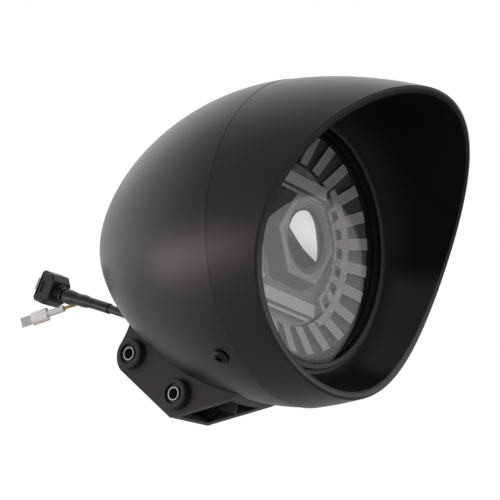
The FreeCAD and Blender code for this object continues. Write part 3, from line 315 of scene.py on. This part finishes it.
@dataclass(frozen=True)
class ShellPaint(Finish):
    """Satin black paint with a faint orange peel; inside the hood's bowl a darker matt black that paints the
    bowl's shade.
    """

    tone: float = 0.013
    gloss: float = 0.36
    bowl: bool = False
    bowl_mouth: float = 38.0
    bowl_radius: float = 86.0
    bowl_taper: float = 0.135
    bowl_curve: float = 0.0013
    bowl_seat: Edge = (1.0, 1.6)
    # where the painted glow low down at the bowl's sides sits
    glow_radius: Edge = (77.0, 84.0)
    glow_side: Edge = (45.0, 60.0)
    glow_top: Edge = (4.0, -14.0)

    def shader(self, graph: Graph) -> Wire:
        """Paint outside, and a darker matt black mixed in where the bowl is as painted shade, paler low down
        at its sides as a painted glow.

        Args:
            graph: the tree that the nodes go into.

        Returns:
            The finish's shader.
        """
        cloud = graph.noise(26.0, 4.0)
        speck = graph.noise(900.0, 2.0)
        peel = graph.noise(420.0, 2.0)
        tone = graph.blend(cloud, ink(self.tone * 0.9), ink(self.tone * 1.12))
        rough = self.gloss - 0.03 + 0.06 * cloud + 0.03 * speck
        paint = graph.surface(Base_Color=tone, Roughness=rough, Specular_IOR_Level=0.5,
                              Specular_Tint=PAINT_SHEEN,
                              Normal=graph.bump(peel * 0.8 + speck * 0.2, 0.00006, 0.5))
        if not self.bowl:
            return paint
        x, y, z, radius = graph.lamp_place()
        ahead = x - self.bowl_mouth
        wall = self.bowl_radius - self.bowl_taper * ahead - self.bowl_curve * ahead * ahead
        inside = (radius - wall).step(1.2, 0.2) * x.step(*self.bowl_seat)
        # painted shade: the bowl's inside is coloured darker than the paint outside
        bowl_shade = graph.blend(cloud, grey(0.006), grey(0.009))
        # painted glow: the bowl's inside is coloured paler low down at its sides
        bowl_glow = radius.step(*self.glow_radius) * y.size().step(*self.glow_side) * z.step(*self.glow_top)
        matt = graph.surface(Base_Color=graph.blend(bowl_glow, bowl_shade, grey(0.042)), Roughness=0.42 + 0.08 * cloud,
                             Specular_IOR_Level=0.25, Normal=graph.bump(speck, 0.00004, 0.4))
        return graph.node("ShaderNodeMixShader", None, {0: inside, 1: paint, 2: matt})


@dataclass(frozen=True)
class CastBlack(Finish):
    """Black paint on a sand-blasted casting."""

    tone: float = 0.011
    gloss: float = 0.44

    def shader(self, graph: Graph) -> Wire:
        """Fine grain with a cloudy gloss.

        Args:
            graph: the tree that the nodes go into.

        Returns:
            The finish's shader.
        """
        grain = graph.noise(1600.0, 3.0)
        cloud = graph.noise(60.0, 4.0)
        tone = graph.blend(cloud, ink(self.tone * 0.85), ink(self.tone * 1.2))
        return graph.surface(Base_Color=tone, Roughness=self.gloss + 0.1 * (cloud - 0.5) + 0.06 * grain,
                             Specular_IOR_Level=0.45, Specular_Tint=PAINT_SHEEN,
                             Normal=graph.bump(grain, 0.00007, 0.6))


@dataclass(frozen=True)
class Rubber(Finish):
    """Matt black rubber with a soft bloom."""

    tone: float = 0.018
    gloss: float = 0.62

    def shader(self, graph: Graph) -> Wire:
        """Fine grain and paler dusty patches.

        Args:
            graph: the tree that the nodes go into.

        Returns:
            The finish's shader.
        """
        dust = graph.noise(180.0, 5.0).step(0.45, 0.8)
        grain = graph.noise(2400.0, 2.0)
        tone = graph.blend(dust, grey(self.tone), grey(self.tone * 1.6, -0.02))
        return graph.surface(Base_Color=tone, Roughness=self.gloss + 0.08 * dust, Specular_IOR_Level=0.4,
                             Normal=graph.bump(grain, 0.00004, 0.5))


class MetalTone(Enum):
    """Bare and plated metals that the headlight uses."""

    STEEL = (0.56, 0.56, 0.58)
    BLACK_OXIDE = (0.05, 0.05, 0.055)
    TIN = (0.78, 0.78, 0.77)
    PALE_BRASS = (0.76, 0.7, 0.56)
    CAST_ALLOY = (0.42, 0.43, 0.44)


@dataclass(frozen=True)
class Metal(Finish):
    """Plated or bare metal with fine wear."""

    tone: MetalTone = MetalTone.STEEL
    gloss: float = 0.28
    grain: float = 1400.0

    def shader(self, graph: Graph) -> Wire:
        """Scratches in the gloss and small stains in the colour.

        Args:
            graph: the tree that the nodes go into.

        Returns:
            The finish's shader.
        """
        stain = graph.noise(240.0, 4.0)
        fine = graph.noise(self.grain, 3.0)
        full = (*self.tone.value, 1.0)
        worn = (*[c * 0.78 for c in self.tone.value], 1.0)
        return graph.surface(Base_Color=graph.blend(stain.step(0.4, 0.75), full, worn), Metallic=1.0,
                             Roughness=self.gloss + 0.16 * (fine - 0.5) + 0.08 * stain,
                             Normal=graph.bump(fine, 0.00003, 0.4))


@dataclass(frozen=True)
class SleeveSteel(Finish):
    """Zinc-plated bush sleeve with painted shade in its bore."""

    bolts: tuple[tuple[float, float], ...] = ((0.0, 0.0), (37.1 * MM, -24.8 * MM))
    bore: float = 3.3 * MM
    edge: float = 0.12 * MM

    def shader(self, graph: Graph) -> Wire:
        """Plated metal outside and on the rim, painted shade inside the bore.

        Args:
            graph: the tree that the nodes go into.

        Returns:
            The finish's shader.
        """
        x, _, z = graph.split(graph.place())
        # painted shade: the bore is coloured dark, less metallic and rougher
        bore_shade = 0.0
        for bolt_x, bolt_z in self.bolts:
            across = x - bolt_x
            up = z - bolt_z
            apart = (across * across + up * up).sqrt()
            bore_shade = apart.step(self.bore + self.edge, self.bore) + bore_shade
        fine = graph.noise(1200.0, 3.0)
        plate = graph.blend(fine, grey(0.5), grey(0.64, 0.02))
        tone = graph.blend(bore_shade, plate, grey(0.045))
        return graph.surface(Base_Color=tone, Metallic=1.0 - 0.95 * bore_shade,
                             Roughness=0.26 + 0.1 * fine + 0.25 * bore_shade,
                             Normal=graph.bump(fine, 0.00002, 0.4))


@dataclass(frozen=True)
class Moulding(Finish):
    """Moulded black plastic with a spark-eroded grain."""

    tone: float = 0.016
    gloss: float = 0.42
    depth: float = 0.00005

    def shader(self, graph: Graph) -> Wire:
        """Even grain with a slow change in gloss.

        Args:
            graph: the tree that the nodes go into.

        Returns:
            The finish's shader.
        """
        grain = graph.noise(1900.0, 2.0)
        cloud = graph.noise(120.0, 3.0)
        tone = graph.blend(cloud, grey(self.tone * 0.85), grey(self.tone * 1.25))
        return graph.surface(Base_Color=tone, Roughness=self.gloss + 0.12 * (cloud - 0.5),
                             Specular_IOR_Level=0.5, Normal=graph.bump(grain, self.depth, 0.6))


@dataclass(frozen=True)
class ClearLens(Finish):
    """Clear moulded plastic whose mirror image is that of a gently twisted face."""

    index: float = 1.4
    sheen: Colour = (1.0, 0.84, 1.0, 1.0)
    radius: float = 70.0
    crown: float = 6.5
    sag: float = 1.9
    rim_slope: Edge = (0.7, 0.8)
    lean_y: Point = (-0.0175, -0.0378, -0.0530)
    lean_z: Point = (-0.0027, -0.2661, 0.0059)

    def shader(self, graph: Graph) -> Wire:
        """Clear through its two broad faces, which share a leaning normal, and dark and opaque round its rim,
        which hides the bright streak its side faces would mirror.

        Args:
            graph: the tree that the nodes go into.

        Returns:
            The finish's shader.
        """
        wave = graph.noise(30.0, 1.0)
        tint = graph.blend(wave, (0.97, 0.97, 0.98, 1.0), (0.99, 0.99, 0.99, 1.0))
        x, y, z, radius = graph.lamp_place()
        share = (radius / self.radius) ** 2.0
        outer = (x - self.crown + self.sag * share).step(-1.2, -0.8) * 2.0 - 1.0
        sign = outer * (1.0 - 2.0 * graph.node("ShaderNodeNewGeometry", output="Backfacing"))
        lean_y, lean_z = (row[0] + row[1] * (y / self.radius) + row[2] * (z / self.radius)
                          for row in (self.lean_y, self.lean_z))
        normal = self.normal(graph, sign, lean_y, lean_z)
        clear = graph.surface(Base_Color=tint, Roughness=0.0, IOR=self.index, Transmission_Weight=1.0,
                              Specular_Tint=self.sheen, Normal=normal)
        # the rim faces are coloured dark and opaque so that they show no bright reflected streak
        dark_rim = graph.surface(Base_Color=grey(0.03), Roughness=0.5, Specular_IOR_Level=0.3)
        forward, _, _ = graph.split(graph.node("ShaderNodeNewGeometry", output="True Normal"))
        broad = forward.size().step(*self.rim_slope)
        return graph.node("ShaderNodeMixShader", None, {0: broad, 1: dark_rim, 2: clear})

    @staticmethod
    def normal(graph: Graph, sign: Wire, lean_y: Wire, lean_z: Wire) -> Wire:
        """The leaning normal of the lens's two broad faces.

        Args:
            graph: the tree that the nodes go into.
            sign: 1 where the normal looks along +X and -1 where it looks back.
            lean_y: slope of the leaning normal to +Y.
            lean_z: slope of the leaning normal to +Z.

        Returns:
            The normal in world space.
        """
        parts = {0: sign, 1: lean_y * sign, 2: lean_z * sign}
        leaning = graph.node("ShaderNodeCombineXYZ", None, parts)
        turn = {"vector_type": "NORMAL", "convert_from": "OBJECT", "convert_to": "WORLD"}
        return graph.node("ShaderNodeVectorTransform", turn, {0: leaning})


class GuideRibs(Enum):
    """How a light guide's optics run."""

    STICKS = "sticks"
    DOTS = "dots"
    PLAIN = "plain"


@dataclass(frozen=True)
class LightGuide(Finish):
    """Frosted clear light guide with fine ribs or dots moulded into it."""

    ribs: GuideRibs = GuideRibs.PLAIN
    tone: float = 0.3
    pitch: float = 1.3
    half_width: float = 3.5
    # rim: where the painted highlight along a stick's edges fades in; wall: where the side walls' painted
    # dark fades in
    rim: Edge = (1.0, 0.6)
    wall: Edge = (0.14, 0.06)

    def shader(self, graph: Graph) -> Wire:
        """Ribs stand out in height and in painted highlight and shade, a painted highlight runs along the
        edges of a stick, and the side walls of a stick are painted dark for the dark seen through them.

        Args:
            graph: the tree that the nodes go into.

        Returns:
            The finish's shader.
        """
        height = self.relief(graph)
        haze = graph.noise(90.0, 3.0)
        guide_shade_tone = frost(self.tone * 0.62)
        guide_highlight_tone = frost(min(1.0, self.tone * 1.22))
        # painted highlight and shade: crests of the ribs or dots, or the plain guides' sparkle, are coloured
        # lighter and hollows darker
        tone = graph.blend(height * 0.85 + haze * 0.15, guide_shade_tone, guide_highlight_tone)
        if self.ribs is GuideRibs.STICKS:
            inset = self.half_width - self.across(graph).size()
            # painted highlight along the edges of each stick
            tone = graph.blend(inset.step(*self.rim) * 0.55, tone, frost(min(1.0, self.tone * 1.35)))
            # side walls painted near black for the dark seen through them
            tone = graph.blend(inset.step(*self.wall), tone, frost(0.06))
        return graph.surface(Base_Color=tone, Roughness=0.24 + 0.12 * haze, IOR=1.49,
                             Transmission_Weight=0.08, Normal=graph.bump(height, 0.0003, 0.5))

    def relief(self, graph: Graph) -> Wire:
        """Height of the moulded optics.

        Args:
            graph: the tree that the nodes go into.

        Returns:
            The height, from 0 to 1.
        """
        turn = 2.0 * math.pi / self.pitch
        if self.ribs is GuideRibs.STICKS:
            radius = graph.lamp_place()[3]
            return (radius * turn).sin() * 0.5 + 0.5
        if self.ribs is GuideRibs.DOTS:
            across, up = graph.insert_place()
            return ((across * turn).sin() * (up * turn).sin()) * 0.5 + 0.5
        # plain guides: noise that gives a fine relief and, through the colour, painted sparkle glints
        return graph.noise(300.0, 3.0, 0.7).step(0.25, 0.75)

    def across(self, graph: Graph) -> Wire:
        """Distance from the middle line of the nearest stick, in millimetres."""
        half = math.pi / STICKS
        return graph.lamp_place()[3] * graph.stick_turn().wrap(-half, half).sin()


@dataclass(frozen=True)
class DarkTrim(Finish):
    """Dark glossy lamp trim."""

    tone: float = 0.03
    gloss: float = 0.2
    sheen: float = 0.5
    panels: int = 0
    cone_edge: Edge = (47.5, 48.0)
    hexagon: float = 0.0
    glint_width: Edge = (0.9, 0.4)
    glint_front: Edge = (-2.2, -1.8)

    def shader(self, graph: Graph) -> Wire:
        """Slightly cloudy gloss, with dark panels behind the sticks or a painted highlight line round the
        front of a hexagon.

        Args:
            graph: the tree that the nodes go into.

        Returns:
            The finish's shader.
        """
        cloud = graph.noise(70.0, 3.0)
        tone = graph.blend(cloud, grey(self.tone * 0.8), grey(self.tone * 1.2))
        if self.panels:
            cone = graph.lamp_place()[3].step(*self.cone_edge)
            panel = (graph.stick_turn() * float(self.panels)).cos().step(0.1, -0.1) * cone
            tone = graph.blend(cone, tone, grey(self.tone * 0.18))
            tone = graph.blend(panel, tone, grey(self.tone * 0.26))
        if self.hexagon:
            # painted highlight: a pale line along the hexagon's front edges
            line = (self.hexagon - self.out(graph)).step(*self.glint_width)
            front = graph.lamp_place()[0].step(*self.glint_front)
            tone = graph.blend(line * front, tone, frost(0.55))
        return graph.surface(Base_Color=tone, Roughness=self.gloss + 0.06 * cloud,
                             Specular_IOR_Level=self.sheen,
                             Normal=graph.bump(graph.noise(700.0, 2.0), 0.00002, 0.4))

    @staticmethod
    def out(graph: Graph) -> Wire:
        """Distance from the projector's axis, square to the nearest side of a hexagon.

        Args:
            graph: the tree that the nodes go into.

        Returns:
            The distance, in millimetres.
        """
        across, up = (part.size() for part in graph.insert_place(PROJECTOR_LIFT))
        return up.most(up * math.cos(math.pi / 3) + across * math.sin(math.pi / 3))


@dataclass(frozen=True)
class ProjectorGlass(Finish):
    """Thick glass dome with a leaf-shaped patch of painted light on it that also glows."""

    white: float = 0.95
    dark: float = 0.03
    glow: float = 0.45
    side: float = 0.8
    side_bow: float = 0.033
    side_top: float = 5.0
    foot: float = -12.3
    foot_rise: float = 14.0
    foot_from: float = -15.4
    foot_fall: float = 7.5
    haze: float = 7.0
    body: Edge = (-14.0, 10.0)

    def shader(self, graph: Graph) -> Wire:
        """A painted white leaf that glows and is lighter towards its top, painted grey shade fading out
        beside it, and dark elsewhere, all under glass.

        Args:
            graph: the tree that the nodes go into.

        Returns:
            The finish's shader.
        """
        _, y, height, _ = graph.lamp_place()
        z = height - PROJECTOR_LIFT
        drop = (self.side_top - z).most(0.0)
        right = self.side + self.side_bow * drop * drop
        floor = self.foot + self.foot_rise * ((self.foot_from - y) / self.foot_fall).exp()
        above = (z - floor).step(-0.2, 0.5)
        # painted light: a white leaf-shaped patch on the dome
        leaf = (right - y).step(-0.25, 0.25) * above
        # painted shade: grey fading to dark beside the leaf
        beside_shade = (y - right).step(self.haze, 0.0) * above
        shade = graph.blend(beside_shade, grey(self.dark), grey(0.3))
        light = graph.blend(z.step(*self.body), grey(self.white * 0.72), grey(self.white, 0.01))
        cloud = graph.noise(160.0, 2.0)
        # the leaf is also given an emission, a painted glow, though the lamp is off
        return graph.surface(Base_Color=graph.blend(leaf, shade, light), Roughness=0.04 + 0.03 * cloud,
                             Specular_IOR_Level=0.5, Emission_Strength=self.glow,
                             Emission_Color=graph.blend(leaf, grey(0.0), light))


@dataclass(frozen=True)
class BoardMask(Finish):
    """White solder mask with copper pads."""

    tone: float = 0.72

    def shader(self, graph: Graph) -> Wire:
        """Tracks show as a faint relief.

        Args:
            graph: the tree that the nodes go into.

        Returns:
            The finish's shader.
        """
        track = graph.noise(520.0, 1.0).step(0.48, 0.56)
        copper = (self.tone * 0.9, self.tone * 0.92, self.tone * 0.86, 1.0)
        return graph.surface(Base_Color=graph.blend(track, grey(self.tone), copper),
                             Roughness=0.34 + 0.1 * track, Normal=graph.bump(track, 0.00003, 0.5))


@dataclass(frozen=True)
class Phosphor(Finish):
    """Yellow phosphor of a light source."""

    def shader(self, graph: Graph) -> Wire:
        """Grainy yellow resin.

        Args:
            graph: the tree that the nodes go into.

        Returns:
            The finish's shader.
        """
        grain = graph.noise(2600.0, 2.0)
        tone = graph.blend(grain, (0.72, 0.52, 0.06, 1.0), (0.82, 0.66, 0.12, 1.0))
        return graph.surface(Base_Color=tone, Roughness=0.3 + 0.2 * grain,
                             Normal=graph.bump(grain, 0.00003, 0.4))


@dataclass(frozen=True)
class Jacket(Finish):
    """Soft vinyl of a cable, sleeve or wire."""

    tone: Colour = (0.016, 0.016, 0.018, 1.0)
    gloss: float = 0.4

    def shader(self, graph: Graph) -> Wire:
        """Drawn vinyl with a few paler scuffs.

        Args:
            graph: the tree that the nodes go into.

        Returns:
            The finish's shader.
        """
        scuff = graph.noise(420.0, 4.0).step(0.52, 0.8)
        paler = tuple(min(1.0, c * 1.5 + 0.006) for c in self.tone[:3]) + (1.0,)
        return graph.surface(Base_Color=graph.blend(scuff, self.tone, paler),
                             Roughness=self.gloss + 0.15 * scuff,
                             Normal=graph.bump(graph.noise(800.0, 2.0), 0.00008, 0.5))


@dataclass(frozen=True)
class ClearVinyl(Finish):
    """Milky clear vinyl of a terminal boot."""

    def shader(self, graph: Graph) -> Wire:
        """Half clear, half milky, with a cloudy body.

        Args:
            graph: the tree that the nodes go into.

        Returns:
            The finish's shader.
        """
        cloud = graph.noise(260.0, 3.0)
        tone = graph.blend(cloud, (0.88, 0.86, 0.86, 1.0), (0.96, 0.95, 0.95, 1.0))
        return graph.surface(Base_Color=tone, Roughness=0.4 + 0.1 * cloud, IOR=1.4, Transmission_Weight=0.1)


@dataclass
class Assembly:
    """A sub-assembly of the headlight that dresses its CAD nodes."""

    nodes: dict[str, bpy.types.Object]

    def finishes(self) -> dict[str, Finish]:
        """Finish of each CAD node; each sub-assembly has its own."""
        raise NotImplementedError

    def dress(self) -> None:
        """Coats every CAD node of the sub-assembly and reports it."""
        for name, finish in self.finishes().items():
            finish.coat(self.nodes[name])
            log.info("%s: %s", name, finish.name)


@dataclass
class Shells(Assembly):
    """The bullet-shaped bucket, the hood and what joins them."""

    def finishes(self) -> dict[str, Finish]:
        """Paint on the shells, oxide on the screws.

        Returns:
            The finish of each CAD node, by its name.
        """
        return {
            "rear_bucket": ShellPaint("bucket_paint"),
            "front_hood": ShellPaint("hood_paint", bowl=True),
            "hood_seal": Rubber("seal_rubber", 0.008),
            "hood_screws": Metal("screw_black_oxide", MetalTone.BLACK_OXIDE, 0.3),
            "hood_nuts": Metal("nut_steel", MetalTone.STEEL, 0.34),
        }


@dataclass
class LampInsert(Assembly):
    """The lens, the trim round it and the lamp behind it."""

    def finishes(self) -> dict[str, Finish]:
        """Clear parts, dark trim, and the boards and cooler behind them.

        Returns:
            The finish of each CAD node, by its name.
        """
        housing = Moulding("housing_plastic", 0.02, 0.5)
        screw = Metal("lamp_screw_steel", MetalTone.STEEL, 0.32)
        board = BoardMask("board_mask")
        bar = LightGuide("bar_guide", GuideRibs.DOTS, 0.8, 2.2)
        return {
            "bezel_ring": DarkTrim("bezel_satin", 0.05, 0.4, 0.4),
            "lens_cover": ClearLens("lens_clear_plastic"),
            "lens_seal": Rubber("lens_seal_rubber", 0.012),
            "lamp_housing": housing,
            "retaining_ring": housing,
            "ring_screws": screw,
            "reflector_bezel": DarkTrim("lamp_face_trim", 0.3, 0.24, 0.22, panels=STICKS),
            "light_sticks": LightGuide("stick_guide", GuideRibs.STICKS, 0.56, 1.35),
            "upper_light_bar": bar,
            "lower_light_bar": bar,
            "side_light_arcs": LightGuide("arc_guide", GuideRibs.PLAIN, 0.6),
            "guide_ring": LightGuide("ring_guide", GuideRibs.PLAIN, 0.55),
            "hexagon_frame": DarkTrim("hexagon_gloss", 0.28, 0.16, 0.3, hexagon=HEXAGON),
            "projector_lens": ProjectorGlass("projector_dome_glass"),
            "projector_ring": DarkTrim("projector_ring_trim", 0.03, 0.3),
            "projector_barrel": housing,
            "main_led_board": board,
            "main_led": Phosphor("led_phosphor"),
            "ring_led_board": board,
            "heat_sink": Metal("cooler_alloy", MetalTone.CAST_ALLOY, 0.46, 700.0),
            "heat_sink_screws": screw,
        }


@dataclass
class Bracket(Assembly):
    """The under-slung bracket with its bushes and screws."""

    def finishes(self) -> dict[str, Finish]:
        """Black casting, rubber bushes, steel sleeves.

        Returns:
            The finish of each CAD node, by its name.
        """
        steel = Metal("bracket_screw_steel", MetalTone.STEEL, 0.34)
        return {
            "mount_bracket": CastBlack("bracket_paint"),
            "bracket_screws": steel,
            "bracket_washers": steel,
            "bracket_grommets": Rubber("bush_rubber", 0.022, 0.56),
            "grommet_sleeves": SleeveSteel("bush_sleeve_zinc"),
        }


@dataclass
class Cord:
    """A cable or wire along one smooth curve."""

    name: str
    route: tuple[Point, ...]
    diameter: float
    length: float
    finish: Finish
    replaces: str
    slot: str
    far_end: str

    def build(self) -> bpy.types.Object:
        """Draws the cord along its route.

        Returns:
            The curve object, in place of its CAD node.
        """
        curve = bpy.data.curves.new(self.name, "CURVE")
        curve.dimensions = "3D"
        curve.bevel_depth = self.diameter / 2
        curve.bevel_resolution = 8
        curve.resolution_u = 16
        curve.use_fill_caps = True
        spline = curve.splines.new("NURBS")
        spline.points.add(len(self.route) - 1)
        for point, place in zip(spline.points, self.route):
            point.co = (*place, 1.0)
        spline.order_u = 3
        spline.use_endpoint_u = True
        cord = bpy.data.objects.new(self.name, curve)
        bpy.context.scene.collection.objects.link(cord)
        self.finish.coat(cord)
        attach(cord, "root")
        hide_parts(self.replaces)
        return cord

    def lay(self) -> None:
        self.build()
        log.info("%s: laid, %.1f mm", self.name, self.length / MM)


@dataclass
class Harness(Assembly):
    """The lamp's cable with its plug, and the yellow wire with its terminal."""

    cable_diameter: float = 5.3 * MM
    cable_length: float = 57.0 * MM
    wire_diameter: float = 2.0 * MM
    wire_length: float = 34.4 * MM
    cable_route: tuple[Point, ...] = (
        (-0.0206, 0.0, 0.0279),
        (-0.0366, 0.0, 0.0326),
        (-0.0511, 0.0, 0.0367),
        (-0.0756, 0.0, 0.0428),
    )
    wire_route: tuple[Point, ...] = (
        (-0.0591, 0.0054, 0.0388),
        (-0.0651, 0.0080, 0.0392),
        (-0.0711, 0.0076, 0.0391),
        (-0.0754, 0.0034, 0.0365),
        (-0.0831, 0.0009, 0.0336),
        (-0.0896, -0.0010, 0.0314),
    )

    def finishes(self) -> dict[str, Finish]:
        """Vinyl, rubber and plated metal.

        Returns:
            The finish of each CAD node, by its name.
        """
        shrink = Jacket("shrink_sleeve", (0.011, 0.011, 0.012, 1.0), 0.36)
        return {
            "cable_grommet": Rubber("cable_bush_rubber", 0.014, 0.55),
            "cable_sleeve": shrink,
            "splice_sleeve": shrink,
            "plug_boot": Moulding("plug_boot_plastic", 0.012, 0.38),
            "plug_body": Moulding("plug_plastic", 0.018, 0.34, 0.00007),
            "plug_blades": Metal("blade_brass", MetalTone.PALE_BRASS, 0.26),
            "terminal_boot": ClearVinyl("boot_vinyl"),
            "wire_terminal": Metal("terminal_plating", MetalTone.TIN, 0.34),
        }

    def lay_cords(self) -> None:
        black = Jacket("cable_jacket")
        yellow = Jacket("wire_jacket", (0.62, 0.42, 0.04, 1.0), 0.36)
        cable = Cord("lamp_cable", self.cable_route, self.cable_diameter, self.cable_length, black,
                     "main_cable", "cable_black", "plug")
        wire = Cord("yellow_wire", self.wire_route, self.wire_diameter, self.wire_length, yellow,
                    "signal_wire", "wire_yellow", "connector")
        cable.lay()
        wire.lay()


@dataclass
class SoftLamp:
    """A rectangular soft lamp."""

    name: str
    place: Point
    size: tuple[float, float]
    power: float
    tint: Point = (1.0, 1.0, 1.0)

    def hang(self, target: Vector) -> None:
        """Hangs the lamp at its place, turned to a target.

        Args:
            target: the point that the lamp faces.
        """
        data = bpy.data.lights.new(self.name, "AREA")
        data.shape = "RECTANGLE"
        data.size, data.size_y = self.size
        data.energy = self.power
        data.color = self.tint
        lamp = bpy.data.objects.new(self.name, data)
        bpy.context.scene.collection.objects.link(lamp)
        lamp.location = self.place
        lamp.rotation_euler = (target - Vector(self.place)).to_track_quat("-Z", "Y").to_euler()


@dataclass
class Studio:
    """Camera, lights, floor and the white surroundings."""

    azimuth: float = 0.6315
    elevation: float = -0.2086
    roll: float = 0.0706
    distance: float = 1.14
    focal_pixels: float = 1973.0
    picture: float = 500.0
    seam_pixel: tuple[float, float] = (307.7, 242.6)
    sensor: float = 36.0
    floor_z: float = -0.30
    floor_size: float = 8.0
    softness: float = 0.85
    side_way: Point = (0.1, -0.97, 0.1)
    side_edge: Edge = (0.1, 0.62)
    side_shade: float = 0.6
    top_way: Point = (0.3, -0.3, 0.9)
    top_edge: Edge = (0.2, 0.55)
    top_shade: float = 0.4
    lamps: tuple[SoftLamp, ...] = field(default_factory=lambda: (
        SoftLamp("top_lamp", (-0.85, 0.7, 1.25), (1.6, 1.6), 3.5),
        SoftLamp("warm_strip", (-0.65, -0.80, -0.18), (1.0, 0.3), 2.9, (1.0, 0.9, 0.8)),
    ))

    def set_camera(self) -> None:
        """Puts the camera where the photograph was taken from."""
        a, e = self.azimuth, self.elevation
        back = Vector((math.sin(a) * math.cos(e), -math.cos(a) * math.cos(e), math.sin(e)))
        right = Vector((math.cos(a), math.sin(a), 0.0))
        up = back.cross(right)
        rolled_right = right * math.cos(self.roll) + up * math.sin(self.roll)
        rolled_up = up * math.cos(self.roll) - right * math.sin(self.roll)
        centre = Vector(SEAM_CENTRE)
        place = centre + back * self.distance
        half = self.picture / 2
        off_x = (self.seam_pixel[0] - half) / self.focal_pixels * self.distance
        off_y = (half - self.seam_pixel[1]) / self.focal_pixels * self.distance
        aim = centre - rolled_right * off_x - rolled_up * off_y
        axis_z = (place - aim).normalized()
        axis_x = rolled_up.cross(axis_z).normalized()
        axis_y = axis_z.cross(axis_x)
        data = bpy.data.cameras.new("photo_camera")
        data.sensor_width = self.sensor
        data.lens = self.focal_pixels / self.picture * data.sensor_width
        camera = bpy.data.objects.new("photo_camera", data)
        bpy.context.scene.collection.objects.link(camera)
        turn = Matrix((axis_x, axis_y, axis_z)).transposed()
        camera.matrix_world = Matrix.Translation(place) @ turn.to_4x4()
        bpy.context.scene.camera = camera

    def set_lamps(self) -> None:
        """Hangs the soft lamps."""
        for lamp in self.lamps:
            lamp.hang(Vector(SEAM_CENTRE))
            log.info("%s: hung", lamp.name)

    def set_world(self) -> None:
        """White surroundings, seen as they are, softer as light on matt surfaces and shaded in mirrors."""
        world = bpy.data.worlds.new("white_surroundings")
        world.use_nodes = True
        graph = Graph(world.node_tree)
        path = graph.node("ShaderNodeLightPath").socket.node.outputs
        through = Wire(graph, path["Is Transmission Ray"])
        seen = (Wire(graph, path["Is Camera Ray"]) + through).step(0.0, 1.0)
        mirrored = Wire(graph, path["Is Glossy Ray"])
        way = graph.node("ShaderNodeTexCoord", output="Generated")
        side = 1.0 - self.side_shade * graph.dot(way, self.side_way).step(*self.side_edge)
        top = 1.0 - self.top_shade * graph.dot(way, self.top_way).step(*self.top_edge)
        plain = self.softness + (side * top - self.softness) * mirrored
        strength = plain + (1.0 - plain) * seen
        sky = graph.node("ShaderNodeBackground", None, {"Color": WHITE, "Strength": strength})
        graph.node_output(sky, "ShaderNodeOutputWorld")
        bpy.context.scene.world = world

    def lay_floor(self) -> None:
        """A plain pale floor well below the lamp."""
        bpy.ops.object.select_all(action="DESELECT")
        bpy.ops.mesh.primitive_plane_add(size=self.floor_size, location=(0.0, 0.0, self.floor_z))
        floor = bpy.context.active_object
        floor.name = "studio_floor"
        FloorPaint("floor_paint").coat(floor)

    def build(self) -> None:
        """Sets the whole studio."""
        bpy.context.scene.view_settings.view_transform = "Standard"
        self.set_camera()
        self.set_lamps()
        self.set_world()
        self.lay_floor()


@dataclass(frozen=True)
class FloorPaint(Finish):
    """Pale matt floor, seen near white and darker as a source of light."""

    rear_edge: Edge = (-0.1, -0.35)
    left_edge: Edge = (0.3, 0.9)
    front_edge: Edge = (-0.2, 0.4)

    def shader(self, graph: Graph) -> Wire:
        """Near white with a hardly seen mottle.

        Args:
            graph: the tree that the nodes go into.

        Returns:
            The finish's shader.
        """
        cloud = graph.noise(6.0, 2.0)
        seen = graph.node("ShaderNodeLightPath", output="Is Camera Ray")
        pale = graph.blend(cloud, grey(0.94), grey(0.97))
        x, y, _ = graph.split(graph.place())
        rear = graph.blend(x.step(*self.rear_edge), grey(0.36), grey(0.58))
        lit = graph.blend(y.step(*self.left_edge) * x.step(*self.front_edge), rear, grey(0.1))
        return graph.surface(Base_Color=graph.blend(seen, lit, pale), Roughness=0.8)


def main() -> None:
    """Builds and dresses the headlight."""
    logging.basicConfig(level=logging.INFO, format="%(name)s %(message)s")
    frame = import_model()
    bpy.ops.object.select_all(action="DESELECT")
    nodes = frame["nodes"]
    Studio().build()
    harness = Harness(nodes)
    harness.lay_cords()
    for assembly in (harness, Shells(nodes), LampInsert(nodes), Bracket(nodes)):
        assembly.dress()


if __name__ == "__main__":
    main()
